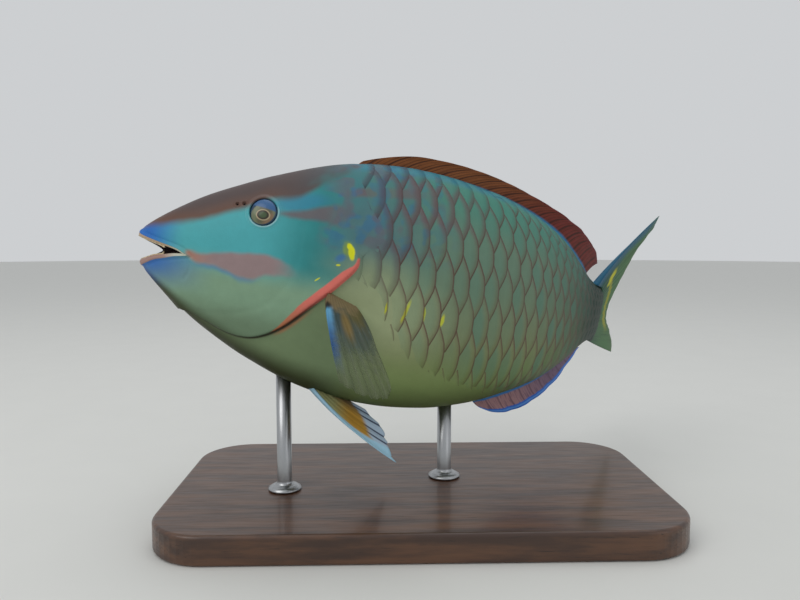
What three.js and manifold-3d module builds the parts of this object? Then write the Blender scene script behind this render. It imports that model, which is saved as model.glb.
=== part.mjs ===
// Life-size parrotfish, mouth open and tail swung away to its right, held by two rods on a flat base.
// Millimetres, +Z up. The snout points to -X and the fish's left side to -Y.
// Stations run along the spine from the snout tip, heights are measured from the spine.

import * as THREE from 'three';
import { mergeVertices } from 'three/addons/utils/BufferGeometryUtils.js';
import Module from 'manifold-3d';

const wasm = await Module();
wasm.setup();

const { degToRad, lerp, clamp, smoothstep } = THREE.MathUtils;

// Driving dimensions
const standardLength = 330;
const seam = 0.3;
const noseUp = degToRad(10.1);
const snoutHeight = 152;
const balancePoint = { x: 150, y: 14 };

// The spine is straight in the head and turns away behind it.
const turnStart = 82.5;
const turnSoftness = 0.053;
const evenTurn = degToRad(50.3);
const growingTurn = degToRad(12.8);

// Outline of the body: [station, size]
const backHeight = profile([
  [0, 4.5], [7, 11.2], [17, 19], [33, 29.5], [50, 38.3], [66, 45.8], [99, 57.8], [119, 61.8],
  [142, 63.4], [165, 62.5], [192, 59.4], [218, 53.4], [244, 44.2], [271, 30.8], [290, 22.8],
  [307, 19.8], [320, 20], [330, 23],
]);
const bellyDepth = profile([
  [0, 7.1], [7, 15.5], [17, 24], [33, 35.4], [50, 44.9], [66, 52.4], [99, 63.6], [119, 67],
  [142, 68.2], [165, 67], [192, 62.4], [218, 55.1], [244, 46.3], [271, 34.5], [290, 26],
  [307, 21.6], [320, 20.7], [330, 22.7],
]);
const halfWidth = profile([
  [0, 3.5], [7, 8], [17, 12], [33, 16.8], [50, 20.5], [66, 23.1], [99, 27.1], [142, 28.7],
  [192, 25.4], [218, 22.1], [244, 17.5], [271, 12.2], [290, 8.9], [307, 6.6], [330, 4],
]);
const sideRoundness = 0.92;
const ridgeRoundness = 0.96;
const ringSides = 36;
const ringSpacing = 7;
const snoutStations = [0, 1, 2.5, 4.5, 7, 10, 14, 19, 24, 30];
const snoutRounding = 12;
const roundSides = 24;

// Where the trunk is divided into lengths
const headReach = 125;
const breastStart = 23;
const breastEnd = 94;
const trunkCuts = [152, 211, 277];

// Where the head ends: down from the nape, round the gill cover's rearmost point, forward to the throat
const headEnd = [
  [92, 90], [93, 62], [96, 43], [103, 29], [110, 20], [115, 8.5], [108, -3.5], [96.5, -17],
  [84, -30.5], [71, -38], [58, -38.5], [45, -34.5], [33, -31.5], [26, -38], [22, -90],
];
const gillTop = 29;
const gillStep = 1.8;
const gillSwell = 9;
const gillSink = 0.7;
const gillSinkLength = 6;

// Open mouth, seen from the side
const gapeTop = [[-9, 4.6], [0, 3.4], [4, 2.6], [15, 0.8], [24, -0.5], [30, -2.4]];
const gapeBottom = [[30, -2.8], [24, -3.5], [17, -5.4], [12, -6.9], [6.6, -9.6], [3, -11.2], [-9, -12]];
const jawFoot = { station: 25.5, height: -50 };
const lipRadius = 1.1;
const lipSteps = 16;
const toothInset = 0.9;
const toothThickness = 2.3;
const toothReach = 1.2;
const toothRoot = 2.6;
const toothEnd = 18;
const toothReachBack = 60;

// Eye
const eye = { station: 66.3, height: 25.7, radius: 7.1, dome: 2.4, depth: 6, sunk: 0.9 };
const socketTop = 12;
const orbitRim = { radius: 8.1, thickness: 0.9 };
const nostrils = [{ station: 52, height: 27.5, radius: 0.9 }, { station: 55.6, height: 28.3, radius: 1.1 }];

// Stand
const base = { length: 270, breadth: 150, thickness: 15, corner: 30, bevel: 2 };
const rod = { radius: 4, foot: 9, footEdge: 1, footHeight: 2.5, intoBelly: 6, stations: [88, 182] };

// A smooth curve through [place, value] points that never overshoots them
function profile(points) {
  const count = points.length;
  const slope = (i) => (points[i + 1][1] - points[i][1]) / (points[i + 1][0] - points[i][0]);
  const tangents = points.map((_, i) => {
    if (i === 0) return slope(0);
    if (i === count - 1) return slope(count - 2);
    const before = slope(i - 1);
    const after = slope(i);
    return before * after <= 0 ? 0 : (2 * before * after) / (before + after);
  });
  return (place) => {
    const x = clamp(place, points[0][0], points[count - 1][0]);
    let i = 0;
    while (i < count - 2 && x > points[i + 1][0]) i += 1;
    const step = points[i + 1][0] - points[i][0];
    const t = (x - points[i][0]) / step;
    const rise = points[i + 1][1] - points[i][1];
    const ease = t * t * (3 - 2 * t);
    const lead = t * (1 - t) * (1 - t) * tangents[i] * step;
    const trail = t * t * (t - 1) * tangents[i + 1] * step;
    return points[i][1] + rise * ease + lead + trail;
  };
}

// Direction of the spine at a station, turned from +X towards +Y
function heading(station) {
  const along = (station - turnStart) / (standardLength - turnStart);
  const ramp = (along + Math.sqrt(along * along + turnSoftness * turnSoftness)) / 2;
  return evenTurn * ramp + growingTurn * ramp * ramp;
}

const spineStep = 1;
const spine = [new THREE.Vector2(0, 0)];
for (let station = 0; station < standardLength; station += spineStep) {
  const angle = heading(station + spineStep / 2);
  const last = spine[spine.length - 1];
  spine.push(new THREE.Vector2(last.x + spineStep * Math.cos(angle), last.y + spineStep * Math.sin(angle)));
}

// A point of the straightened fish, moved to its place on the turned spine
function bend(station, side, height) {
  const index = clamp(Math.floor(station / spineStep), 0, spine.length - 2);
  const rest = station / spineStep - index;
  const x = lerp(spine[index].x, spine[index + 1].x, rest);
  const y = lerp(spine[index].y, spine[index + 1].y, rest);
  const angle = heading(station);
  return new THREE.Vector3(x - side * Math.sin(angle), y + side * Math.cos(angle), height);
}

function movePoints(geometry, move) {
  const position = geometry.attributes.position;
  for (let i = 0; i < position.count; i += 1) {
    const moved = move(position.getX(i), position.getY(i), position.getZ(i));
    position.setXYZ(i, moved.x, moved.y, moved.z);
  }
  return geometry;
}

// Closed geometry to solid and back
function toSolid(geometry) {
  const bare = geometry.clone();
  for (const name of Object.keys(bare.attributes)) {
    if (name !== 'position') bare.deleteAttribute(name);
  }
  const merged = mergeVertices(bare, 1e-4);
  return new wasm.Manifold(new wasm.Mesh({
    numProp: 3,
    vertProperties: new Float32Array(merged.attributes.position.array),
    triVerts: new Uint32Array(merged.index.array),
  }));
}

function toGeometry(solid) {
  const pieces = solid.decompose();
  const largest = pieces.reduce((best, piece) => (piece.volume() > best.volume() ? piece : best));
  const mesh = largest.getMesh();
  const geometry = new THREE.BufferGeometry();
  geometry.setAttribute('position', new THREE.BufferAttribute(new Float32Array(mesh.vertProperties), 3));
  geometry.setIndex(new THREE.BufferAttribute(new Uint32Array(mesh.triVerts), 1));
  return geometry;
}

// Turns the faces of a closed geometry outward, where they point in
function faceOut(geometry) {
  const index = geometry.index.array;
  const corner = (i) => new THREE.Vector3().fromBufferAttribute(geometry.attributes.position, index[i]);
  let volume = 0;
  for (let i = 0; i < index.length; i += 3) {
    volume += corner(i).dot(corner(i + 1).cross(corner(i + 2)));
  }
  if (volume < 0) {
    for (let i = 0; i < index.length; i += 3) {
      [index[i], index[i + 1]] = [index[i + 1], index[i]];
    }
  }
  return geometry;
}

// Rings of points, closed at both ends by a fan
function ringSkin(rings) {
  const sides = rings[0].length;
  const points = rings.flat();
  const triangles = [];
  const centre = (ring) => ring.reduce((sum, p) => sum.add(p), new THREE.Vector3()).divideScalar(sides);
  for (let r = 0; r < rings.length - 1; r += 1) {
    for (let i = 0; i < sides; i += 1) {
      const a = r * sides + i;
      const b = r * sides + ((i + 1) % sides);
      triangles.push(a, b, b + sides, a, b + sides, a + sides);
    }
  }
  const firstCentre = points.push(centre(rings[0])) - 1;
  const lastCentre = points.push(centre(rings[rings.length - 1])) - 1;
  const lastStart = (rings.length - 1) * sides;
  for (let i = 0; i < sides; i += 1) {
    const next = (i + 1) % sides;
    triangles.push(firstCentre, next, i);
    triangles.push(lastCentre, lastStart + i, lastStart + next);
  }
  return new THREE.BufferGeometry().setFromPoints(points).setIndex(triangles);
}

// Side distance of the body's surface from the spine at a station and height
function surfaceSide(station, height) {
  const middle = (backHeight(station) - bellyDepth(station)) / 2;
  const reach = (backHeight(station) + bellyDepth(station)) / 2;
  const up = Math.pow(Math.min(Math.abs(height - middle) / reach, 1), 1 / ridgeRoundness);
  return halfWidth(station) * Math.pow(Math.sqrt(1 - up * up), sideRoundness);
}

// One point of the body's surface, pushed outward by grow and by the relief
function bodyPoint(station, angle, grow, relief) {
  const middle = (backHeight(station) - bellyDepth(station)) / 2;
  const reach = (backHeight(station) + bellyDepth(station)) / 2;
  const width = halfWidth(station);
  const across = Math.cos(angle);
  const up = Math.sin(angle);
  const side = width * Math.sign(across) * Math.pow(Math.abs(across), sideRoundness);
  const height = middle + reach * Math.sign(up) * Math.pow(Math.abs(up), ridgeRoundness);
  const normal = new THREE.Vector2(across / width, up / reach).normalize();
  const push = grow + relief(station, height);
  const tipShift = grow * clamp(1 - station / snoutRounding, 0, 1);
  return new THREE.Vector3(station - tipShift, side + normal.x * push, height + normal.y * push);
}

const noRelief = () => 0;

function bodySolid(from, to, grow = 0, relief = noRelief) {
  const stations = [from];
  for (const station of snoutStations) {
    if (station > from + 0.5 && station < to - 0.5) stations.push(station);
  }
  const firstEven = snoutStations[snoutStations.length - 1] + ringSpacing;
  for (let station = firstEven; station < to - 1; station += ringSpacing) {
    if (station > from + 1) stations.push(station);
  }
  stations.push(to);
  const rings = stations.map((station) => {
    const ring = [];
    for (let i = 0; i < ringSides; i += 1) {
      ring.push(bodyPoint(station, (2 * Math.PI * i) / ringSides, grow, relief));
    }
    return ring;
  });
  return toSolid(ringSkin(rings));
}

// An outline in the fish's side view, cut through it from side to side
function sideCut(outline) {
  const reach = 60;
  const shape = new THREE.Shape(outline.map(([station, height]) => new THREE.Vector2(station, height)));
  const geometry = new THREE.ExtrudeGeometry(shape, { depth: 2 * reach, bevelEnabled: false });
  geometry.translate(0, 0, -reach);
  geometry.rotateX(Math.PI / 2);
  return toSolid(geometry);
}

// An outline run of points moved square to itself, to its left for a positive distance
function offsetRun(points, distance) {
  return points.map((point, i) => {
    const before = points[Math.max(i - 1, 0)];
    const after = points[Math.min(i + 1, points.length - 1)];
    const along = new THREE.Vector2(after[0] - before[0], after[1] - before[1]).normalize();
    return [point[0] - along.y * distance, point[1] + along.x * distance];
  });
}

const headEndPoints = headEnd.map(([station, height]) => new THREE.Vector2(station, height));
const headRear = new THREE.SplineCurve(headEndPoints).getPoints(64).map((point) => [point.x, point.y]);
const gillPoints = headRear.filter(([station, height]) => station > 30 && height < gillTop);

function headOutline(grow) {
  return [[-20, 90], ...offsetRun(headRear, grow), [-20, -90]];
}

function gillDistance(station, height) {
  return Math.min(...gillPoints.map(([x, y]) => Math.hypot(station - x, height - y)));
}

// The gill cover swells towards its edge, and the trunk sinks a little behind it.
function headRelief(station, height) {
  return gillStep * Math.exp(-gillDistance(station, height) / gillSwell);
}

function trunkRelief(station, height) {
  return -gillSink * Math.exp(-gillDistance(station, height) / gillSinkLength);
}

// Frame on the body's surface: origin, and a turn that takes +Z to the outward normal
function surfaceFrame(station, height, sideSign) {
  const reach = 2;
  const at = (s, h) => new THREE.Vector3(s, sideSign * surfaceSide(s, h), h);
  const alongBody = at(station + reach, height).sub(at(station - reach, height));
  const upward = at(station, height + reach).sub(at(station, height - reach));
  const normal = alongBody.cross(upward).normalize();
  if (normal.y * sideSign < 0) normal.negate();
  const turn = new THREE.Quaternion().setFromUnitVectors(new THREE.Vector3(0, 0, 1), normal);
  return { origin: at(station, height), normal, turn };
}

// A turned piece whose axis stands on the body's surface
function onSurface(geometry, station, height, sideSign, lift) {
  const frame = surfaceFrame(station, height, sideSign);
  const place = frame.origin.clone().addScaledVector(frame.normal, lift);
  return geometry.applyMatrix4(new THREE.Matrix4().compose(place, frame.turn, new THREE.Vector3(1, 1, 1)));
}

function lathe(outline) {
  const geometry = new THREE.LatheGeometry(outline.map(([r, z]) => new THREE.Vector2(r, z)), roundSides);
  return geometry.rotateX(Math.PI / 2);
}

function eyeball() {
  const { radius, dome, depth } = eye;
  const back = [[0, -depth], [0.7 * radius, -0.9 * depth], [radius, -0.35 * depth], [radius, 0]];
  const front = [[0.87 * radius, 0.48 * dome], [0.6 * radius, 0.83 * dome], [0.3 * radius, 0.97 * dome]];
  return lathe([...back, ...front, [0, dome]]);
}

function eyeSocket() {
  const radius = eye.radius + seam;
  const floor = -eye.depth - seam;
  const wall = [[0.72 * radius, 0.9 * floor], [radius, 0.33 * floor], [radius, socketTop]];
  return lathe([[0, floor], ...wall, [0, socketTop]]);
}

function orbitRing() {
  return new THREE.TorusGeometry(orbitRim.radius, orbitRim.thickness, 6, roundSides);
}

// A round roll along one edge of the open mouth, from corner to corner round the snout
function lip(edge) {
  const near = edge.filter(([station]) => station > 2 && station < 29).sort((a, b) => b[0] - a[0]);
  const onLeft = ([station, height]) => new THREE.Vector3(station, -surfaceSide(station, height), height);
  const left = near.map(onLeft);
  const front = near[near.length - 1];
  const tip = new THREE.Vector3(front[0] - surfaceSide(...front) * 0.45, 0, front[1]);
  const right = left.map((point) => new THREE.Vector3(point.x, -point.y, point.z)).reverse();
  const path = new THREE.CatmullRomCurve3([...left, tip, ...right]);
  const section = new THREE.Shape().absarc(0, 0, lipRadius, 0, 2 * Math.PI);
  const options = { steps: lipSteps, extrudePath: path, bevelEnabled: false, curveSegments: 4 };
  return toSolid(new THREE.ExtrudeGeometry(section, options));
}

// A curved strip of beak just inside the lip, between two heights over the mouth's edge
function toothPlate(edge, up, grow) {
  const outer = bodySolid(0, toothReachBack, grow - toothInset);
  const inner = bodySolid(0, toothReachBack, -grow - toothInset - toothThickness);
  const kept = edge.filter(([station]) => station < toothEnd);
  const ordered = kept.sort((a, b) => a[0] - b[0]);
  const lastHeight = lerp(ordered[ordered.length - 1][1], -2, 0.3);
  ordered.push([toothEnd + grow, lastHeight]);
  const high = up > 0 ? toothRoot + grow : toothReach + grow;
  const low = up > 0 ? toothReach + grow : toothRoot + grow;
  const outline = [
    ...ordered.map(([station, height]) => [station, height - low]),
    ...ordered.map(([station, height]) => [station, height + high]).reverse(),
  ];
  return outer.subtract(inner).intersect(sideCut(outline));
}

// Head, jaw, teeth and eyes, made in the straightened fish
function headSolids() {
  const whole = bodySolid(0, headReach, 0, headRelief).intersect(sideCut(headOutline(0)));
  const gape = sideCut([...gapeTop, ...gapeBottom]);
  const jawOutline = [...gapeBottom, [-9, jawFoot.height], [jawFoot.station, jawFoot.height]];
  const [cornerStation, cornerHeight] = gapeBottom[0];
  const jawGrown = [
    [cornerStation + seam, cornerHeight + seam / 2], ...gapeBottom, [-9, jawFoot.height],
    [jawFoot.station + seam, jawFoot.height],
  ];
  let head = whole.add(lip(gapeTop).intersect(sideCut([[-9, 20], ...gapeTop, [40, -2.4], [40, 20]])));
  head = head.subtract(gape).subtract(sideCut(jawGrown));
  let jaw = whole.add(lip(gapeBottom).intersect(sideCut(jawOutline))).intersect(sideCut(jawOutline));
  head = head.subtract(toothPlate(gapeTop, 1, seam));
  jaw = jaw.subtract(toothPlate(gapeBottom, -1, seam));
  for (const sideSign of [-1, 1]) {
    head = head.add(toSolid(onSurface(orbitRing(), eye.station, eye.height, sideSign, 0)));
    head = head.subtract(toSolid(onSurface(eyeSocket(), eye.station, eye.height, sideSign, -eye.sunk)));
    for (const { station, height, radius } of nostrils) {
      const pit = new THREE.SphereGeometry(radius, 10, 6);
      head = head.subtract(toSolid(onSurface(pit, station, height, sideSign, 0)));
    }
  }
  return { head, jaw };
}

// A fin as a closed sheet. Columns follow the rays, rows run from the root to the margin.
// Ray columns are thicker than the membrane between them.
function finSheet({ rays, rows, root, control, tip, thickness, ridge, scallop = 0, from = 0, to = 1 }) {
  const columns = 2 * (rays - 1);
  const faces = [[], []];
  for (let c = 0; c <= columns; c += 1) {
    const u = lerp(from, to, c / columns);
    const isRay = c % 2 === 0;
    const reach = isRay ? 1 : 1 - scallop;
    for (let r = 0; r <= rows; r += 1) {
      const v = (r / rows) * reach;
      const start = root(u);
      const middle = control(u);
      const end = tip(u);
      const blend = (k) => (1 - v) * (1 - v) * start[k] + 2 * v * (1 - v) * middle[k] + v * v * end[k];
      const half = lerp(thickness[0], thickness[1], v) / 2 + (isRay ? ridge * (1 - 0.6 * v) : 0);
      const belly = start.length > 2 ? blend(2) : 0;
      faces[0].push(new THREE.Vector3(blend(0), belly - half, blend(1)));
      faces[1].push(new THREE.Vector3(blend(0), belly + half, blend(1)));
    }
  }
  return sheetGeometry(faces, columns, rows);
}

// Two like grids of points joined round their edge
function sheetGeometry(faces, columns, rows) {
  const across = rows + 1;
  const offset = faces[0].length;
  const triangles = [];
  const quad = (a, b, c, d) => triangles.push(a, b, c, a, c, d);
  for (let c = 0; c < columns; c += 1) {
    for (let r = 0; r < rows; r += 1) {
      const a = c * across + r;
      const b = a + across;
      quad(a, b, b + 1, a + 1);
      triangles.push(offset + a, offset + b + 1, offset + b, offset + a, offset + a + 1, offset + b + 1);
    }
  }
  for (let c = 0; c < columns; c += 1) {
    const low = c * across;
    const high = low + rows;
    quad(low, low + offset, low + across + offset, low + across);
    quad(high, high + across, high + across + offset, high + offset);
  }
  for (let r = 0; r < rows; r += 1) {
    const last = columns * across + r;
    quad(r, r + 1, r + 1 + offset, r + offset);
    quad(last, last + offset, last + 1 + offset, last + 1);
  }
  return faceOut(new THREE.BufferGeometry().setFromPoints([...faces[0], ...faces[1]]).setIndex(triangles));
}

// Dorsal fin, half folded: how far each ray sweeps back and stands over the back
const dorsal = { start: 108, end: 285, rays: 19, sunk: 4 };
const dorsalSweep = profile([
  [0, 3], [0.05, 10], [0.1, 16], [0.2, 21], [0.4, 24], [0.7, 24], [0.9, 22], [1, 20.5],
]);
const dorsalStand = profile([
  [0, 1.5], [0.05, 4.8], [0.1, 6.8], [0.2, 7.9], [0.4, 8.7], [0.5, 9.9], [0.6, 12.4], [0.7, 16.2],
  [0.8, 20.4], [0.9, 21], [0.95, 19.5], [1, 13],
]);

const dorsalParts = { dorsal_fin_spiny: [0, 0.47], dorsal_fin_soft: [0.47, 1] };

function dorsalFin(from, to) {
  const station = (u) => lerp(dorsal.start, dorsal.end, u);
  const root = (u) => [station(u) - 3, backHeight(station(u) - 3) - dorsal.sunk];
  const tip = (u) => {
    const end = station(u) + dorsalSweep(u);
    return [end, backHeight(end) + dorsalStand(u)];
  };
  const control = (u) => {
    const middle = station(u) + 0.35 * dorsalSweep(u);
    return [middle, backHeight(middle) + 0.6 * dorsalStand(u)];
  };
  const rays = Math.round(dorsal.rays * (to - from)) + 1;
  return finSheet({
    rays, rows: 5, root, control, tip, thickness: [2.4, 0.6], ridge: 0.25, scallop: 0.05, from, to,
  });
}

// Anal fin, half folded under the tail
const anal = { start: 199, end: 292, rays: 12, sunk: 4 };
const analSweep = profile([[0, 8], [0.1, 12], [0.35, 14], [0.65, 14], [0.9, 12], [1, 10]]);
const analStand = profile([
  [0, 6.5], [0.08, 12.3], [0.2, 15.7], [0.35, 16.9], [0.5, 16.3], [0.65, 14.2], [0.8, 9.5], [0.9, 6],
  [1, 3],
]);

function analFin() {
  const station = (u) => lerp(anal.start, anal.end, u);
  const root = (u) => [station(u) - 2, -bellyDepth(station(u) - 2) + anal.sunk];
  const tip = (u) => {
    const end = station(u) + analSweep(u);
    return [end, -bellyDepth(end) - analStand(u)];
  };
  const control = (u) => {
    const middle = station(u) + 0.35 * analSweep(u);
    return [middle, -bellyDepth(middle) - 0.5 * analStand(u)];
  };
  return finSheet({
    rays: anal.rays, rows: 5, root, control, tip, thickness: [2.2, 0.6], ridge: 0.25, scallop: 0.04,
  });
}

// Caudal fin in its own plane: the rays fan out from the end of the spine to a hollow rear margin
const caudal = { turn: degToRad(-7.4), pitch: degToRad(9.9), twist: degToRad(-9.3), rays: 15, sunk: 4 };
const caudalMarginStation = profile([
  [0, 426], [0.05, 422], [0.1, 412], [0.15, 402], [0.2, 390], [0.27, 382], [0.35, 374], [0.45, 365],
  [0.55, 359.5], [0.65, 363], [0.75, 372], [0.85, 385], [0.92, 397], [0.97, 412], [1, 417.5],
]);
const caudalMarginHeight = profile([
  [0, 66.3], [0.05, 57.5], [0.1, 52.5], [0.15, 47], [0.2, 41], [0.27, 33], [0.35, 23.5], [0.45, 11.5],
  [0.55, 0], [0.65, -9.5], [0.75, -17], [0.85, -24.5], [0.92, -33], [0.97, -43.5], [1, -51.8],
]);
const caudalSpread = profile([[0, 23], [0.1, 18.5], [0.5, 1], [0.9, -16], [1, -20]]);
const caudalRootShift = profile([[0, 15], [0.08, 3], [0.2, 0], [0.85, 0], [1, 6]]);
const caudalLobes = {
  caudal_fin_upper: [0, 0.3],
  caudal_fin_middle: [0.3, 0.7],
  caudal_fin_lower: [0.7, 1],
};

function caudalFin(from, to) {
  const root = (u) => {
    const height = caudalSpread(u);
    return [standardLength - caudal.sunk - height * Math.tan(caudal.pitch) - caudalRootShift(u), height];
  };
  const tip = (u) => [caudalMarginStation(u), caudalMarginHeight(u)];
  const control = (u) => {
    const start = root(u);
    const end = tip(u);
    const flare = 7 * (1 - smoothstep(u, 0, 0.2)) - 1.5 * smoothstep(u, 0.85, 1);
    return [lerp(start[0], end[0], 0.2), lerp(start[1], end[1], 0.2) + flare];
  };
  const rays = Math.round(caudal.rays * (to - from)) + 1;
  return finSheet({ rays, rows: 7, root, control, tip, thickness: [4.2, 0.6], ridge: 0.25, from, to });
}

// The caudal fin's plane is turned, pitched and twisted at the end of the spine.
function tailPlace(station, side, height) {
  const angle = heading(standardLength) + caudal.turn;
  const { pitch, twist } = caudal;
  const aft = new THREE.Vector3(
    Math.cos(angle) * Math.cos(pitch), Math.sin(angle) * Math.cos(pitch), Math.sin(pitch));
  const level = new THREE.Vector3(-Math.sin(angle), Math.cos(angle), 0);
  const upright = new THREE.Vector3().crossVectors(aft, level);
  const up = upright.multiplyScalar(Math.cos(twist)).addScaledVector(level, Math.sin(twist));
  const across = new THREE.Vector3().crossVectors(up, aft).normalize();
  return bend(standardLength, 0, 0)
    .addScaledVector(aft, station - standardLength)
    .addScaledVector(up, height)
    .addScaledVector(across, side);
}

// A paired fin lies in its own frame: x runs out along it, z across it from its leading edge
const pectoral = {
  rays: 12,
  root: { station: 109, height: -12 },
  aim: new THREE.Vector3(0.42, -0.79, -0.445),
  across: new THREE.Vector3(0.846, 0.52, -0.12),
};
const pectoralTipAlong = profile([
  [0, 63], [0.15, 68.5], [0.4, 71], [0.6, 69.5], [0.8, 64], [0.92, 50], [1, 33],
]);
const pectoralTipAcross = profile([
  [0, -20.5], [0.15, -15.5], [0.4, -6], [0.6, 1], [0.8, 6], [0.92, 9.5], [1, 11],
]);

const pelvic = {
  rays: 6,
  root: { station: 106, side: 6, height: -62 },
  leftAim: new THREE.Vector3(0.783, -0.494, -0.379),
  rightAim: new THREE.Vector3(0.757, 0.3, -0.58),
  across: new THREE.Vector3(0.562, 0.822, 0.089),
};
const pelvicTipAlong = profile([[0, 61], [0.2, 53], [0.4, 48], [0.6, 42.5], [0.8, 34], [1, 24]]);
const pelvicTipAcross = profile([[0, 0], [0.2, 4], [0.4, 8.5], [0.6, 13], [0.8, 16.5], [1, 18]]);

function inFrame(geometry, origin, aim, across) {
  const alongAxis = aim.clone().normalize();
  const acrossAxis = across.clone().addScaledVector(alongAxis, -across.dot(alongAxis)).normalize();
  const normal = new THREE.Vector3().crossVectors(acrossAxis, alongAxis);
  const matrix = new THREE.Matrix4().makeBasis(alongAxis, normal, acrossAxis).setPosition(origin);
  return geometry.applyMatrix4(matrix);
}

const mirrored = (vector) => new THREE.Vector3(vector.x, -vector.y, vector.z);

function pectoralFin() {
  const root = (u) => [-6, lerp(-4.5, 4.5, u), 0];
  const tip = (u) => [pectoralTipAlong(u), pectoralTipAcross(u), 2];
  const control = (u) => [lerp(14, 10, u), lerp(-13, 12, u), -3];
  const { rays } = pectoral;
  return finSheet({ rays, rows: 6, root, control, tip, thickness: [3, 0.5], ridge: 0.22, scallop: 0.02 });
}

function pelvicFin() {
  const root = (u) => [-5, lerp(-1, 6, u), 0];
  const tip = (u) => [pelvicTipAlong(u), pelvicTipAcross(u), 0];
  const control = (u) => [lerp(28, 10, u), lerp(-7.5, 14, u), 1.5];
  const { rays } = pelvic;
  return finSheet({ rays, rows: 6, root, control, tip, thickness: [3, 0.5], ridge: 0.3, scallop: 0.06 });
}

const colours = {
  head: 0x4f9a9c, jaw: 0x5f8fb8, tooth: 0xd8c7a0, eye: 0x7a7442, breast: 0x7d9a7c, trunk: 0x4c8f86,
  dorsal: 0x7d4a3c, anal: 0x9a5c74, caudal: 0x4f8f8c, pectoral: 0x5a6048, pelvic: 0xa8833c,
  wood: 0x3a2618, steel: 0x9a9c9e,
};

const group = new THREE.Group();
const fish = new THREE.Group();
fish.rotation.y = noseUp;
fish.position.set(-balancePoint.x, -balancePoint.y, snoutHeight);
group.add(fish);

function addMesh(parent, name, geometry, color, roughness = 0.5, metalness = 0) {
  const material = new THREE.MeshStandardMaterial({ color, roughness, metalness });
  const mesh = new THREE.Mesh(geometry, material);
  mesh.name = name;
  parent.add(mesh);
}

function addBent(name, solid, color) {
  addMesh(fish, name, movePoints(toGeometry(solid), bend), color);
}

// Head and jaws
const { head, jaw } = headSolids();
addBent('head', head, colours.head);
addBent('lower_jaw', jaw, colours.jaw);
addBent('upper_tooth_plate', toothPlate(gapeTop, 1, 0), colours.tooth);
addBent('lower_tooth_plate', toothPlate(gapeBottom, -1, 0), colours.tooth);
for (const [name, sideSign] of [['eye_left', -1], ['eye_right', 1]]) {
  addBent(name, toSolid(onSurface(eyeball(), eye.station, eye.height, sideSign, -eye.sunk)), colours.eye);
}

// Trunk, parted behind the gill cover and into lengths
const behindHead = sideCut(headOutline(seam));
const halfSeam = seam / 2;
const breast = bodySolid(breastStart, breastEnd - halfSeam, 0, trunkRelief).subtract(behindHead);
addBent('breast', breast, colours.breast);
const frontEnd = trunkCuts[0] - halfSeam;
const trunkFront = bodySolid(breastEnd + halfSeam, frontEnd, 0, trunkRelief).subtract(behindHead);
addBent('trunk_front', trunkFront, colours.trunk);
['trunk_middle', 'trunk_rear', 'caudal_peduncle'].forEach((name, i) => {
  const end = i < trunkCuts.length - 1 ? trunkCuts[i + 1] - halfSeam : standardLength;
  addBent(name, bodySolid(trunkCuts[i] + halfSeam, end), colours.trunk);
});

// The ends of a share of a fin, drawn in a little where another share begins
function insetEnds(from, to, inset) {
  return [from === 0 ? 0 : from + inset / 2, to === 1 ? 1 : to - inset / 2];
}

// Fins, each trimmed a seam's width off the body that it grows from
const grownBody = bodySolid(0, standardLength + seam, seam, trunkRelief);
const grownBent = toSolid(movePoints(toGeometry(grownBody), bend));
for (const [name, [from, to]] of Object.entries(dorsalParts)) {
  const part = dorsalFin(...insetEnds(from, to, seam / (dorsal.end - dorsal.start)));
  addBent(name, toSolid(part).subtract(grownBody), colours.dorsal);
}
addBent('anal_fin', toSolid(analFin()).subtract(grownBody), colours.anal);
const lobeInset = 0.004;
for (const [name, [from, to]] of Object.entries(caudalLobes)) {
  const lobe = movePoints(caudalFin(...insetEnds(from, to, lobeInset)), tailPlace);
  addMesh(fish, name, toGeometry(toSolid(lobe).subtract(grownBent)), colours.caudal);
}

const grownHead = bodySolid(0, headReach, seam, headRelief).intersect(sideCut(headOutline(seam)));
const grownHeadBent = toSolid(movePoints(toGeometry(grownHead), bend));

// All that lies on the other side of the fish's middle plane under the pelvic fins
function beyondMiddle(sideSign) {
  const reach = 100;
  const box = new THREE.BoxGeometry(2 * reach, reach, 2 * reach);
  box.translate(0, -sideSign * (reach / 2 - halfSeam), 0).rotateZ(heading(pelvic.root.station));
  const middle = bend(pelvic.root.station, 0, pelvic.root.height);
  return toSolid(box.translate(middle.x, middle.y, middle.z));
}

// A fin of the right side is made on the left and mirrored.
function addPairedFin(name, sheet, origin, aim, across, color) {
  const sideSign = name.endsWith('right') ? 1 : -1;
  const geometry = inFrame(sheet, origin, aim, across).scale(1, -sideSign, 1);
  const trimmed = toSolid(faceOut(geometry)).subtract(grownBent).subtract(grownHeadBent);
  addMesh(fish, name, toGeometry(trimmed.subtract(beyondMiddle(sideSign))), color);
}

const pectoralSide = surfaceSide(pectoral.root.station, pectoral.root.height);
for (const [name, sideSign] of [['pectoral_fin_left', -1], ['pectoral_fin_right', 1]]) {
  const root = bend(pectoral.root.station, sideSign * pectoralSide, pectoral.root.height);
  const leftRoot = sideSign > 0 ? mirrored(root) : root;
  addPairedFin(name, pectoralFin(), leftRoot, pectoral.aim, pectoral.across, colours.pectoral);
}

const pelvicRoot = new THREE.Vector3(pelvic.root.station, -pelvic.root.side, pelvic.root.height);
const pelvicAims = { pelvic_fin_left: pelvic.leftAim, pelvic_fin_right: mirrored(pelvic.rightAim) };
for (const [name, aim] of Object.entries(pelvicAims)) {
  addPairedFin(name, pelvicFin(), pelvicRoot, aim, pelvic.across, colours.pelvic);
}

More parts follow.
